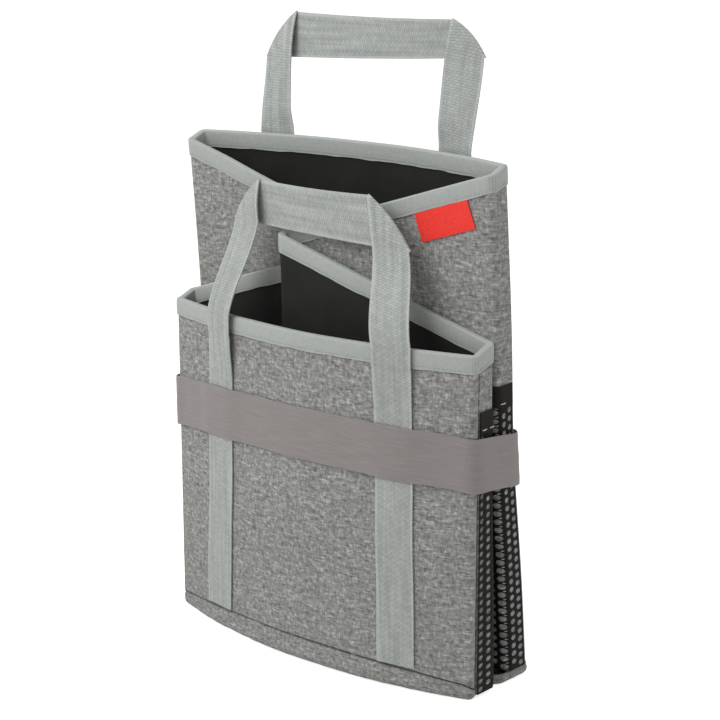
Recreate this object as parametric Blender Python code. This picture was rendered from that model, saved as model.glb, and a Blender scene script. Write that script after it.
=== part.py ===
"""A fabric car organizer, folded flat and held shut by an elastic band.

Lengths are in millimetres until a mesh is made. X runs along the front panel,
-Y is the front, +Z is up, and the base rests on z = 0.

The four walls share one closed line, seen from above: along the bowed front
panel, round the right side that is folded inwards like a V, along the bowed
back panel, and round the left side, whose V nests behind the right one. The
line is set at the floor and at the back rim, and every wall is straight
between them. Each layer of a wall lies at its own distance from that line.
"""

from math import atan2, cos, pi, sin, tan

import bmesh
import bpy
from mathutils import Vector

MM = 0.001

# Overall sizes
WIDTH = 300.0
FRONT_HEIGHT = 258.5
BACK_HEIGHT = 388.8
SIDE_DEPTH = 402.0
BOTTOM_SPREAD = 67.0
TOP_SPREAD = 30.0

# How far the panels bow out between their side edges
FRONT_BOW = 24.0
BACK_BOW_TOP = 28.0
BACK_BOW_BOTTOM = 20.0

# The folded sides
RETURN_BOTTOM = 20.5
RETURN_TOP = 15.0
TIP_WIDTH = 9.0
TIP_ROUNDING = 0.47
RIGHT_TIP_BOTTOM = 11.0
RIGHT_TIP_TOP = 2.0
NESTING_CLEARANCE = 2.0
CORNER_RADIUS = 3.6
BEND_RADIUS = 5.0

# Layers of a wall
OUTER_FABRIC = 1.0
BOARD = 1.6
LINING = 0.8
CLEAR = 0.3
BOARD_MARGIN = 6.0

# Rim binding
BINDING = 1.0
BINDING_HEIGHT = 13.4
BINDING_ROUNDING = 1.2

# Base
SIDE_SEAM = 9.5
CORNER_SEAM = 13.0
SEAM_RISE = 7.0
BASE_FABRIC = 1.2
BASE_ROLL = 5.0
SHOULDER_IN = 1.5
SHOULDER_UP = 1.0
BASE_BOARD = 2.0
BASE_BOARD_GAP = 0.6
BASE_BOARD_SETBACK = 10.0

# Webbing handles
WEBBING = 30.0
WEBBING_THICKNESS = 1.3
WEBBING_CLEAR = 0.6
STRAP_CLIMB = 4.0
STRAP_CENTRE = 87.6
STRAP_LEAN = 3.0
FOLD_GAP = 0.4
FRONT_HANDLE_TOP = 361.0
FRONT_HANDLE_LEFT = 50.0
FRONT_HANDLE_RIGHT = 58.0
FRONT_HANDLE_BACK = -4.0
BACK_HANDLE_TOP = 482.7
BACK_HANDLE_LEFT = 73.0
BACK_HANDLE_RIGHT = 73.0
BACK_HANDLE_BACK = 58.0

# Elastic band
BAND_HEIGHT = 40.0
BAND_THICKNESS = 1.1
BAND_MIDDLE = 176.8
BAND_TILT = 5.4

# Mesh pockets and the elastic tape along their tops
MESH = 0.8
MESH_CLEAR = 0.8
TAPE = 0.9
TAPE_HEIGHT = 16.0
TAPE_FRONT = 212.0
TAPE_BACK = 224.0
MESH_ROWS = 8
MESH_COLUMNS = 6
MESH_BAR = 0.45

# Label
LABEL_WIDTH = 48.0
LABEL_HEIGHT = 21.0
LABEL_THICKNESS = 0.8
LABEL_CLEAR = 0.6
LABEL_FROM_CORNER = 14.0

# Number of straight pieces along each stretch
PANEL_STEPS = 12
HALF_STEPS = 5
BEND_STEPS = 3
CORNER_STEPS = 4
WALL_ROWS = 3
FOLD_STEPS = 4
LEG_STEPS = 4
LABEL_STEPS = 3

# Sizes worked out from those above
OUTER_INSIDE = BOARD / 2 + CLEAR
OUTER_FACE = OUTER_INSIDE + OUTER_FABRIC
LINING_INSIDE = -(BOARD / 2 + CLEAR)
LINING_FACE = LINING_INSIDE - LINING
BINDING_OUTSIDE = OUTER_FACE + CLEAR + BINDING
BINDING_INSIDE = LINING_FACE - CLEAR - BINDING
MESH_BACK = OUTER_FACE + MESH_CLEAR
MESH_FACE = MESH_BACK + MESH
TAPE_FACE = MESH_BACK + TAPE
STRAP_FACE = OUTER_FACE + WEBBING_CLEAR + WEBBING_THICKNESS
BAND_INSIDE = STRAP_FACE + CLEAR
HALF = WIDTH / 2 - OUTER_FACE
TIP_HALF = TIP_WIDTH / 2 - LINING_FACE
WALL_TOP_DROP = BINDING + CLEAR


# Shapes of the wall line


def mix(a, b, share):
    return a + (b - a) * share


def bowed(x, depth):
    """How far a panel stands out at x, when it stands out by depth in its middle."""
    return depth * (1 - (x / HALF) ** 2)


def tip_reach(side_return):
    """How far a folded side reaches past the middle of the panels."""
    return SIDE_DEPTH / 2 - side_return - HALF


def left_tip(right_tip, spread, side_return):
    """Where the left fold lies, front to back, to clear the back half of the right one."""
    start = right_tip + TIP_WIDTH / 2
    end = spread - side_return
    reach = tip_reach(side_return)
    share = 2 * reach / (HALF + reach)
    crossing = mix(start, end, share)
    return crossing - LINING_FACE + NESTING_CLEARANCE + TIP_HALF


def loop_corners(spread, side_return, right_tip, back_bow):
    """Corners of the wall line, anticlockwise from the front's left: (name, x, y, radius, steps)."""
    tip_radius = TIP_ROUNDING * TIP_WIDTH
    reach = tip_reach(side_return)
    near, far = right_tip - TIP_WIDTH / 2, right_tip + TIP_WIDTH / 2
    left = left_tip(right_tip, spread, side_return)
    left_near, left_far = left - TIP_WIDTH / 2, left + TIP_WIDTH / 2
    bend_back = spread - side_return
    corners = []

    def corner(name, x, y, radius, steps):
        corners.append((name, x, y, radius, steps))

    def between(x0, y0, x1, y1, count):
        for k in range(1, count):
            corners.append((None, mix(x0, x1, k / count), mix(y0, y1, k / count), 0.0, 0))

    corner("front_left", -HALF, 0.0, CORNER_RADIUS, CORNER_STEPS)
    for k in range(1, PANEL_STEPS):
        x = mix(-HALF, HALF, k / PANEL_STEPS)
        corners.append((None, x, -bowed(x, FRONT_BOW), 0.0, 0))
    corner("front_right", HALF, 0.0, CORNER_RADIUS, CORNER_STEPS)
    corner("right_near_bend", HALF, side_return, BEND_RADIUS, BEND_STEPS)
    between(HALF, side_return, -reach, near, HALF_STEPS)
    corner("right_near_tip", -reach, near, tip_radius, BEND_STEPS)
    corner("right_far_tip", -reach, far, tip_radius, BEND_STEPS)
    between(-reach, far, HALF, bend_back, HALF_STEPS)
    corner("right_far_bend", HALF, bend_back, BEND_RADIUS, BEND_STEPS)
    corner("back_right", HALF, spread, CORNER_RADIUS, CORNER_STEPS)
    for k in range(1, PANEL_STEPS):
        x = mix(HALF, -HALF, k / PANEL_STEPS)
        corners.append((None, x, spread + bowed(x, back_bow), 0.0, 0))
    corner("back_left", -HALF, spread, CORNER_RADIUS, CORNER_STEPS)
    corner("left_far_bend", -HALF, bend_back, BEND_RADIUS, BEND_STEPS)
    between(-HALF, bend_back, reach, left_far, HALF_STEPS)
    corner("left_far_tip", reach, left_far, tip_radius, BEND_STEPS)
    corner("left_near_tip", reach, left_near, tip_radius, BEND_STEPS)
    between(reach, left_near, -HALF, side_return, HALF_STEPS)
    corner("left_near_bend", -HALF, side_return, BEND_RADIUS, BEND_STEPS)
    return corners


def rounded(corners):
    """The line's points, with an arc at each named corner, and each arc's first and last index."""
    points = []
    arcs = {}
    count = len(corners)
    for k, (name, x, y, radius, steps) in enumerate(corners):
        here = Vector((x, y))
        if not name:
            points.append(here)
            continue
        before = Vector(corners[k - 1][1:3])
        after = Vector(corners[(k + 1) % count][1:3])
        inward = (here - before).normalized()
        outward = (after - here).normalized()
        turn = atan2(inward.x * outward.y - inward.y * outward.x, inward.dot(outward))
        reach = radius * tan(abs(turn) / 2)
        start = here - inward * reach
        side = Vector((-inward.y, inward.x)) * (1 if turn > 0 else -1)
        centre = start + side * radius
        arcs[name] = (len(points), len(points) + steps)
        for j in range(steps + 1):
            angle = turn * j / steps
            arm = start - centre
            swung_x = arm.x * cos(angle) - arm.y * sin(angle)
            swung_y = arm.x * sin(angle) + arm.y * cos(angle)
            points.append(centre + Vector((swung_x, swung_y)))
    return points, arcs


FLOOR_LINE, ARCS = rounded(loop_corners(BOTTOM_SPREAD, RETURN_BOTTOM, RIGHT_TIP_BOTTOM, BACK_BOW_BOTTOM))
TOP_LINE, _ = rounded(loop_corners(TOP_SPREAD, RETURN_TOP, RIGHT_TIP_TOP, BACK_BOW_TOP))
STATIONS = len(FLOOR_LINE)


def whole_station(index, z):
    return FLOOR_LINE[index % STATIONS].lerp(TOP_LINE[index % STATIONS], z / BACK_HEIGHT)


def whole_normal(index, z):
    """Outward arm at a station, long enough that offset lines stay parallel."""
    here = whole_station(index, z)
    inward = (here - whole_station(index - 1, z)).normalized()
    outward = (whole_station(index + 1, z) - here).normalized()
    right_in = Vector((inward.y, -inward.x))
    right_out = Vector((outward.y, -outward.x))
    middle = (right_in + right_out).normalized()
    return middle / middle.dot(right_in)


def wall_point(station, z, offset):
    """A point offset outwards from the wall line; a station may lie between two whole ones."""
    low = int(station // 1)
    share = station - low
    place = whole_station(low, z).lerp(whole_station(low + 1, z), share)
    arm = whole_normal(low, z).lerp(whole_normal(low + 1, z), share)
    place = place + arm * offset
    return Vector((place.x, place.y, z))


def arc_middle(name):
    first, last = ARCS[name]
    return (first + last) // 2


def panel_station(name, x):
    """The station of the front or back panel that lies at x."""
    first, last = (ARCS["front_left"][1], ARCS["front_right"][0])
    if name == "back":
        first, last = (ARCS["back_right"][1], ARCS["back_left"][0])
    for k in range(first, last):
        x0, x1 = whole_station(k, 0).x, whole_station(k + 1, 0).x
        if min(x0, x1) <= x <= max(x0, x1):
            return k + (x - x0) / (x1 - x0)
    return float(first)


# Heights along the wall line


def side_share(station, side):
    """How far along the side panel a station lies: 0 at the front corner, 1 at the back."""
    ends = {
        "right": (arc_middle("front_right"), arc_middle("back_right")),
        "left": (arc_middle("front_left") + STATIONS, arc_middle("back_left")),
    }
    start, end = ends[side]
    step = 1 if end > start else -1
    lengths = [0.0]
    for k in range(start, end, step):
        lengths.append(lengths[-1] + (whole_station(k + step, 0) - whole_station(k, 0)).length)
    place = min(max((station - start) * step, 0.0), len(lengths) - 1.0)
    low = min(int(place), len(lengths) - 2)
    return mix(lengths[low], lengths[low + 1], place - low) / lengths[-1]


def side_of(station):
    """The side panel that a station belongs to, or None on the front and back panels."""
    spot = station % STATIONS
    if arc_middle("front_right") < spot < arc_middle("back_right"):
        return "right"
    if spot > arc_middle("back_left") or spot < arc_middle("front_left"):
        return "left"
    return None


def unrolled(station, side):
    """The same station, counted past the end of the loop where the left side wraps round."""
    if side == "left" and station % STATIONS < arc_middle("front_left"):
        return station % STATIONS + STATIONS
    return station % STATIONS


def rim_height(station):
    side = side_of(station)
    if side:
        share = side_share(unrolled(station, side), side)
        return mix(FRONT_HEIGHT, BACK_HEIGHT, share)
    if station % STATIONS <= arc_middle("front_right"):
        return FRONT_HEIGHT
    return BACK_HEIGHT


def wall_top(station):
    return rim_height(station) - WALL_TOP_DROP


def seam_height(station):
    """Where the walls end and the base fabric begins."""
    for name in ("front_left", "front_right", "back_right", "back_left"):
        first, last = ARCS[name]
        if first <= station % STATIONS <= last:
            share = (station % STATIONS - first) / (last - first)
            towards_panel = share if name in ("front_left", "back_right") else 1 - share
            return mix(SIDE_SEAM, CORNER_SEAM, towards_panel)
    if side_of(station):
        return SIDE_SEAM
    x = whole_station(int(station), 0).x
    return CORNER_SEAM + bowed(x, SEAM_RISE)


# Solids


def colour_material(name, colour, roughness):
    material = bpy.data.materials.new(name)
    material.use_nodes = True
    shader = material.node_tree.nodes["Principled BSDF"]
    shader.inputs["Base Color"].default_value = (*colour, 1.0)
    shader.inputs["Roughness"].default_value = roughness
    shader.inputs["Metallic"].default_value = 0.0
    return material


def add_object(name, mesh_data, colour, roughness):
    mesh = bpy.data.meshes.new(name)
    mesh_data.normal_update()
    mesh_data.to_mesh(mesh)
    mesh_data.free()
    thing = bpy.data.objects.new(name, mesh)
    mesh.materials.append(colour_material(name, colour, roughness))
    bpy.context.scene.collection.objects.link(thing)
    return thing


def solid_from_grids(name, outer, inner, look, holes=()):
    """A sheet between two grids of points, rows of columns, with the cells in holes left open."""
    work = bmesh.new()
    rows, columns = len(outer) - 1, len(outer[0]) - 1
    front = [[work.verts.new(p * MM) for p in row] for row in outer]
    back = [[work.verts.new(p * MM) for p in row] for row in inner]

    def is_solid(r, c):
        return 0 <= r < rows and 0 <= c < columns and (r, c) not in holes

    for r in range(rows):
        for c in range(columns):
            if not is_solid(r, c):
                continue
            spots = [(r, c), (r, c + 1), (r + 1, c + 1), (r + 1, c)]
            for half in ((0, 1, 2), (0, 2, 3)):
                work.faces.new([front[spots[k][0]][spots[k][1]] for k in half])
                work.faces.new([back[spots[k][0]][spots[k][1]] for k in reversed(half)])
            beyond = [(r - 1, c), (r, c + 1), (r + 1, c), (r, c - 1)]
            for k, (nr, nc) in enumerate(beyond):
                if is_solid(nr, nc):
                    continue
                (a, b), (d, e) = spots[k], spots[(k + 1) % 4]
                work.faces.new([front[d][e], front[a][b], back[a][b], back[d][e]])
    bmesh.ops.recalc_face_normals(work, faces=work.faces)
    return add_object(name, work, *look)


def solid_from_rings(name, rings, look, closed=False):
    """A body through rings of points, capped at its ends or joined end to end."""
    work = bmesh.new()
    loops = [[work.verts.new(p * MM) for p in ring] for ring in rings]
    size = len(loops[0])
    for k in range(len(loops) if closed else len(loops) - 1):
        this, other = loops[k], loops[(k + 1) % len(loops)]
        for j in range(size):
            i = (j + 1) % size
            work.faces.new([this[j], this[i], other[i], other[j]])
    if not closed:
        work.faces.new(list(reversed(loops[0])))
        work.faces.new(loops[-1])
    bmesh.ops.recalc_face_normals(work, faces=work.faces)
    return add_object(name, work, *look)


def station_run(first, last, trim):
    """Stations from first to last, pulled in by trim millimetres at both ends."""
    start_length = (whole_station(first + 1, 0) - whole_station(first, 0)).length
    end_length = (whole_station(last, 0) - whole_station(last - 1, 0)).length
    middle = [float(k) for k in range(first + 1, last)]
    return [first + trim / start_length] + middle + [last - trim / end_length]


def wall_sheet(name, stations, inside, outside, low, high, look, rows=WALL_ROWS):
    """A layer of a wall between two offsets, from low(station) to high(station)."""
    outer, inner = [], []
    for r in range(rows + 1):
        heights = [mix(low(s), high(s), r / rows) for s in stations]
        outer.append([wall_point(s, z, outside) for s, z in zip(stations, heights)])
        inner.append([wall_point(s, z, inside) for s, z in zip(stations, heights)])
    return solid_from_grids(name, outer, inner, look)


# Colours and roughness of the pieces

MELANGE = ((0.26, 0.255, 0.24), 0.95)
BLACK_LINING = ((0.018, 0.018, 0.016), 0.85)
FIBREBOARD = ((0.30, 0.22, 0.14), 0.9)
TAPE_GREY = ((0.37, 0.39, 0.37), 0.8)
WEBBING_GREY = ((0.36, 0.39, 0.38), 0.7)
BAND_GREY = ((0.24, 0.22, 0.215), 0.85)
MESH_BLACK = ((0.012, 0.012, 0.012), 0.8)
LABEL_RED = ((0.86, 0.035, 0.025), 0.6)


# Walls


def wall_stations():
    """Each wall's run of stations, from the middle of one corner to the middle of the next."""
    wrap = arc_middle("front_left") + STATIONS
    return {
        "front": (arc_middle("front_left"), arc_middle("front_right")),
        "right": (arc_middle("front_right"), arc_middle("back_right")),
        "back": (arc_middle("back_right"), arc_middle("back_left")),
        "left": (arc_middle("back_left"), wrap),
    }


def build_walls():
    for wall, (first, last) in wall_stations().items():
        run = station_run(first, last, CLEAR / 2)
        wall_sheet(wall + "_outer", run, OUTER_INSIDE, OUTER_FACE, seam_height, wall_top, MELANGE)
        wall_sheet(wall + "_lining", run, LINING_FACE, LINING_INSIDE, seam_height, wall_top, BLACK_LINING)
    stretches = {
        "front_board": ("front_left", "front_right"),
        "back_board": ("back_right", "back_left"),
        "right_board_near": ("right_near_bend", "right_near_tip"),
        "right_board_far": ("right_far_tip", "right_far_bend"),
        "left_board_far": ("left_far_bend", "left_far_tip"),
        "left_board_near": ("left_near_tip", "left_near_bend"),
    }
    for name, (start, end) in stretches.items():
        run = station_run(ARCS[start][1], ARCS[end][0], CLEAR)
        wall_sheet(
            name, run, -BOARD / 2, BOARD / 2,
            lambda s: seam_height(s) + BOARD_MARGIN,
            lambda s: wall_top(s) - BOARD_MARGIN,
            FIBREBOARD,
        )


def build_binding():
    """One tape folded over the rims of all four walls."""
    cut = BINDING_ROUNDING
    profile = [
        (BINDING_OUTSIDE, -BINDING_HEIGHT),
        (BINDING_OUTSIDE, -cut),
        (BINDING_OUTSIDE - cut, 0.0),
        (BINDING_INSIDE + cut, 0.0),
        (BINDING_INSIDE, -cut),
        (BINDING_INSIDE, -BINDING_HEIGHT),
        (BINDING_INSIDE + BINDING, -BINDING_HEIGHT),
        (BINDING_INSIDE + BINDING, -BINDING),
        (BINDING_OUTSIDE - BINDING, -BINDING),
        (BINDING_OUTSIDE - BINDING, -BINDING_HEIGHT),
    ]
    rings = []
    for station in range(STATIONS):
        rim = rim_height(station)
        rings.append([wall_point(station, rim + rise, offset) for offset, rise in profile])
    solid_from_rings("rim_binding", rings, TAPE_GREY, closed=True)


# Base


def wrapped_stations():
    """Stations of a line drawn tight round the panels, straight across the folded sides."""
    front = list(range(ARCS["front_left"][0], ARCS["front_right"][1] + 1))
    back = list(range(ARCS["back_right"][0], ARCS["back_left"][1] + 1))
    return front + back


def build_base():
    """Base fabric: a shallow tray that rolls under from the seams and lies flat on the ground."""
    inside = OUTER_FACE - BASE_FABRIC
    levels = [
        (OUTER_FACE - BASE_ROLL, lambda s: 0.0),
        (OUTER_FACE - SHOULDER_IN, lambda s: SHOULDER_UP),
        (OUTER_FACE, lambda s: BASE_ROLL),
        (OUTER_FACE, lambda s: seam_height(s) - CLEAR),
        (inside, lambda s: seam_height(s) - CLEAR),
        (inside, lambda s: BASE_ROLL),
        (inside - SHOULDER_IN, lambda s: BASE_FABRIC + SHOULDER_UP),
        (inside - BASE_ROLL, lambda s: BASE_FABRIC),
    ]
    rings = []
    for offset, height in levels:
        ring = []
        for station in wrapped_stations():
            spot = wall_point(station, 0.0, offset)
            ring.append(Vector((spot.x, spot.y, height(station))))
        rings.append(ring)
    solid_from_rings("base_fabric", rings, MELANGE)


def build_base_boards():
    """The stiff bottom in two halves, each folded up against its own panel."""
    length = SIDE_DEPTH / 2 - BASE_BOARD_SETBACK
    outside = LINING_FACE - BASE_BOARD_GAP
    inside = outside - BASE_BOARD
    bottom = BASE_FABRIC + SHOULDER_UP + CLEAR
    stretches = {
        "base_board_front": ("front_left", "front_right"),
        "base_board_back": ("back_right", "back_left"),
    }
    for name, (start, end) in stretches.items():
        first, last = ARCS[start][1] + 1, ARCS[end][0] - 1
        run = [float(k) for k in range(first, last + 1)]
        wall_sheet(
            name, run, inside, outside,
            lambda s: bottom,
            lambda s: bottom + length,
            BLACK_LINING,
        )


# Handles


def strap_section(panel, x_outer, x_inner, z, offset):
    """The two edges of a strap on a panel's face, outer edge first, and its outward direction."""
    outer = wall_point(panel_station(panel, x_outer), z, offset)
    inner = wall_point(panel_station(panel, x_inner), z, offset)
    along = inner - outer
    facing = Vector((along.y, -along.x, 0.0)).normalized()
    wanted = -1.0 if panel == "front" else 1.0
    if facing.y * wanted < 0:
        facing = -facing
    return outer, inner, facing


def handle_half(panel, side, rim, reach, handle_top, handle_y):
    """Sections of one half of a handle, from the seam up to the folded corner."""
    fold_radius = (WEBBING_THICKNESS + FOLD_GAP) / 2
    outwards = -1.0 if panel == "front" else 1.0
    flat = OUTER_FACE + WEBBING_CLEAR + WEBBING_THICKNESS / 2
    proud = BINDING_OUTSIDE + WEBBING_CLEAR + WEBBING_THICKNESS / 2
    start = seam_height(panel_station(panel, side * (STRAP_CENTRE - WEBBING / 2))) + 2 * CLEAR
    climb = rim - BINDING_HEIGHT
    sections = []
    for z, offset in (
        (start, flat),
        (mix(start, climb, 0.5), flat),
        (climb - STRAP_CLIMB, flat),
        (climb - CLEAR, proud),
        (rim + CLEAR, proud),
    ):
        centre = STRAP_CENTRE - STRAP_LEAN * (z - start) / (rim - start)
        x_outer, x_inner = side * (centre + WEBBING / 2), side * (centre - WEBBING / 2)
        sections.append(strap_section(panel, x_outer, x_inner, z, offset))
    base_outer, base_inner, base_facing = sections[-1]
    low = handle_top - WEBBING
    leg_y = handle_y - fold_radius
    top_outer = Vector((side * (reach + WEBBING), leg_y, low))
    top_inner = Vector((side * reach, leg_y, low))
    top_facing = Vector((0.0, outwards, 0.0))
    for k in range(1, LEG_STEPS + 1):
        share = k / LEG_STEPS
        eased = share * share * (3 - 2 * share)
        outer = base_outer.lerp(top_outer, share)
        inner = base_inner.lerp(top_inner, share)
        outer.y = mix(base_outer.y, leg_y, eased)
        inner.y = mix(base_inner.y, leg_y, eased)
        facing = base_facing.lerp(top_facing, eased).normalized()
        sections.append((outer, inner, facing))
    diagonal_outer = Vector((side * (reach + WEBBING), handle_y, low))
    diagonal_inner = Vector((side * reach, handle_y, handle_top))
    away = Vector((side, 0.0, 1.0)).normalized()
    for k in range(FOLD_STEPS + 1):
        angle = pi * k / FOLD_STEPS
        swing = Vector((0.0, -cos(angle), 0.0)) + away * sin(angle)
        shift = swing * fold_radius
        sections.append((diagonal_outer + shift, diagonal_inner + shift, swing * -outwards))
    return sections


def build_handle(panel, rim, left_reach, right_reach, handle_top, handle_y):
    """One length of webbing: up a panel, over its rim, along the grip and down again."""
    left = handle_half(panel, -1, rim, left_reach, handle_top, handle_y)
    right = handle_half(panel, 1, rim, right_reach, handle_top, handle_y)
    sections = left + list(reversed(right))
    half = WEBBING_THICKNESS / 2
    rings = []
    for outer, inner, facing in sections:
        rings.append([
            outer + facing * half,
            inner + facing * half,
            inner - facing * half,
            outer - facing * half,
        ])
    solid_from_rings(panel + "_handle", rings, WEBBING_GREY)


# Elastic band


def build_band():
    rings = []
    outside = BAND_INSIDE + BAND_THICKNESS
    for station in wrapped_stations():
        middle = BAND_MIDDLE + BAND_TILT / 2 * whole_station(station, 0).x / HALF
        low, high = middle - BAND_HEIGHT / 2, middle + BAND_HEIGHT / 2
        rings.append([
            wall_point(station, low, outside),
            wall_point(station, high, outside),
            wall_point(station, high, BAND_INSIDE),
            wall_point(station, low, BAND_INSIDE),
        ])
    solid_from_rings("elastic_band", rings, BAND_GREY, closed=True)


# Mesh pockets


def pocket_run(side):
    """First and last station of a mesh pocket, just inside the side panel's corner seams."""
    if side == "right":
        return ARCS["front_right"][1], ARCS["back_right"][0]
    return ARCS["back_left"][1], ARCS["front_left"][0] + STATIONS


def tape_middle(station, side):
    return mix(TAPE_FRONT, TAPE_BACK, side_share(unrolled(station, side), side))


def straight_cells(start, end, openings):
    """Station boundaries of one straight stretch, and which of its cells are open."""
    count = 2 * openings + 1
    bounds, opens = [], []
    bar = MESH_BAR / (openings + 1)
    gap = (1 - MESH_BAR) / openings
    place = 0.0
    for k in range(count):
        place += gap if k % 2 else bar
        bounds.append(mix(start, end, place))
        opens.append(k % 2 == 1)
    bounds[-1] = float(end)
    return bounds, opens


def build_mesh(side):
    """Net from the seam to the tape, open in rows and columns over the fabric behind it."""
    first, last = pocket_run(side)
    order = ["near_bend", "near_tip", "far_tip", "far_bend"]
    if side == "left":
        order.reverse()
    stations, open_columns = [float(first)], []
    previous = first
    for k, bend in enumerate(order + [None]):
        start, end = ARCS[side + "_" + bend] if bend else (last, last)
        straight = k != 2
        if straight:
            openings = MESH_COLUMNS if k in (1, 3) else 1
            bounds, opens = straight_cells(previous, start, openings)
            stations += bounds
            open_columns += opens
        elif start > previous:
            stations.append(float(start))
            open_columns.append(False)
        for j in range(start + 1, end + 1):
            stations.append(float(j))
            open_columns.append(False)
        previous = end
    rows = 2 * MESH_ROWS + 1
    outer, inner = [], []
    heights = [0.0]
    for r in range(rows):
        share = (1 - MESH_BAR) / MESH_ROWS if r % 2 else MESH_BAR / (MESH_ROWS + 1)
        heights.append(heights[-1] + share)
    for share in heights:
        outer_row, inner_row = [], []
        for station in stations:
            top = tape_middle(station, side) - TAPE_HEIGHT / 2 - CLEAR
            z = mix(SIDE_SEAM, top, share)
            outer_row.append(wall_point(station, z, MESH_FACE))
            inner_row.append(wall_point(station, z, MESH_BACK))
        outer.append(outer_row)
        inner.append(inner_row)
    holes = {(r, c) for r in range(1, rows, 2) for c, is_open in enumerate(open_columns) if is_open}
    solid_from_grids(side + "_mesh", outer, inner, MESH_BLACK, holes)


def build_tape(side):
    first, last = pocket_run(side)
    run = [float(k) for k in range(first, last + 1)]
    wall_sheet(
        side + "_mesh_tape", run, MESH_BACK, TAPE_FACE,
        lambda s: tape_middle(s, side) - TAPE_HEIGHT / 2,
        lambda s: tape_middle(s, side) + TAPE_HEIGHT / 2,
        MESH_BLACK, rows=1,
    )


# Label


def build_label():
    """A bare woven tag sewn under the binding, square to the rim, on the right side's far half."""
    start, end = ARCS["right_far_tip"][1], ARCS["right_far_bend"][0]
    length = (whole_station(end, 0) - whole_station(start, 0)).length
    per_mm = (end - start) / length
    near = end - (LABEL_FROM_CORNER + LABEL_WIDTH) * per_mm
    slope = atan2((BACK_HEIGHT - FRONT_HEIGHT), SIDE_DEPTH)
    top = rim_height(near) - BINDING_HEIGHT - CLEAR
    outer, inner = [], []
    for down in (LABEL_HEIGHT, 0.0):
        outer_row, inner_row = [], []
        for k in range(LABEL_STEPS + 1):
            across = LABEL_WIDTH * k / LABEL_STEPS
            station = near + (across * cos(slope) + down * sin(slope)) * per_mm
            z = top + across * sin(slope) - down * cos(slope)
            outer_row.append(wall_point(station, z, OUTER_FACE + LABEL_CLEAR + LABEL_THICKNESS))
            inner_row.append(wall_point(station, z, OUTER_FACE + LABEL_CLEAR))
        outer.append(outer_row)
        inner.append(inner_row)
    solid_from_grids("label", outer, inner, LABEL_RED)


def main():
    for thing in list(bpy.data.objects):
        bpy.data.objects.remove(thing, do_unlink=True)
    build_walls()
    build_binding()
    build_base()
    build_base_boards()
    build_handle(
        "front", FRONT_HEIGHT, FRONT_HANDLE_LEFT, FRONT_HANDLE_RIGHT, FRONT_HANDLE_TOP, FRONT_HANDLE_BACK
    )
    build_handle("back", BACK_HEIGHT, BACK_HANDLE_LEFT, BACK_HANDLE_RIGHT, BACK_HANDLE_TOP, BACK_HANDLE_BACK)
    build_band()
    for side in ("right", "left"):
        build_mesh(side)
        build_tape(side)
    build_label()


main()
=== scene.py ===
"""Looks of a fabric car organizer, folded flat and held shut by an elastic band.

Lengths are in millimetres until a mesh is made. X runs along the front panel,
-Y is the front, +Z is up. All cloth layers follow one closed wall line, seen
from above, each at its own distance from it, so they stay clear of each other
where the cloth is uneven too. A station is a place on that line, counted in
points from the front's left corner, and may lie between two points.
"""

from math import atan2, cos, pi, radians, sin, tan

import bpy
import numpy as np
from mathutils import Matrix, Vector


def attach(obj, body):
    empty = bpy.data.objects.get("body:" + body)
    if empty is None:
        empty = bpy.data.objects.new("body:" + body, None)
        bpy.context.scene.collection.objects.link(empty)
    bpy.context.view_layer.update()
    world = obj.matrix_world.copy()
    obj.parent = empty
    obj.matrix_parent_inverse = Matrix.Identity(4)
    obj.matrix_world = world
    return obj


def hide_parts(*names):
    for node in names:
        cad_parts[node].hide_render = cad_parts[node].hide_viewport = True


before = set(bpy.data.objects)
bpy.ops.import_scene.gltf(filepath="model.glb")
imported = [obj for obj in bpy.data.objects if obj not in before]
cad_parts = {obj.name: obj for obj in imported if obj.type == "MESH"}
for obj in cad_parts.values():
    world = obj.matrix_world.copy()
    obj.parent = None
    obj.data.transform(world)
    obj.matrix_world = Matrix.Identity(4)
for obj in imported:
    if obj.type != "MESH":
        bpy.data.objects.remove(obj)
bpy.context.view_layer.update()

MM = 0.001

# Sizes of the body, as in the frame
WIDTH = 300.0
FRONT_HEIGHT = 258.5
BACK_HEIGHT = 388.8
SIDE_DEPTH = 402.0
BOTTOM_SPREAD = 67.0
TOP_SPREAD = 30.0
FRONT_BOW = 24.0
BACK_BOW_TOP = 28.0
BACK_BOW_BOTTOM = 20.0
RETURN_BOTTOM = 20.5
RETURN_TOP = 15.0
TIP_WIDTH = 9.0
TIP_ROUNDING = 0.47
RIGHT_TIP_BOTTOM = 11.0
RIGHT_TIP_TOP = 2.0
NESTING_CLEARANCE = 2.0
CORNER_RADIUS = 3.6

# The photo shows the right side's near fold deeper and sharper than the frame's
NEAR_RETURN_MORE = 6.5
NEAR_RETURN_MORE_TOP = 0.5
BEND_RADIUS = 3.0

# Layers, as distances from the wall line, outwards positive
CLEAR = 0.3
BOARD_FACE = 0.8
OUTER_INSIDE = 1.1
OUTER_FACE = 2.1
LINING_INSIDE = -1.1
LINING_FACE = -1.9
BINDING_OUTSIDE = 3.1
BINDING_INSIDE = -2.9
NET_BACK = 2.25
NET_FACE = 2.7
TAPE_FACE = 3.2
HALF = WIDTH / 2 - OUTER_FACE
TIP_HALF = TIP_WIDTH / 2 - LINING_FACE

# Seam between the walls and the base, and the bound rim
SIDE_SEAM = 9.5
CORNER_SEAM = 13.0
SEAM_RISE = 7.0
BINDING = 0.8
BINDING_HEIGHT = 13.4

# Webbing, and the band that rests on it
WEBBING = 30.0
WEBBING_THICKNESS = 1.3
WEBBING_CLEAR = 0.6
BAND_MIDDLE = 176.8

# Mesh pockets, with their tape lower in front than the frame's, as in the photo
TAPE_HEIGHT = 16.0
TAPE_FRONT = 208.5
TAPE_BACK = 224.0


# Small sums


def mix(a, b, share):
    return a + (b - a) * share


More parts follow.
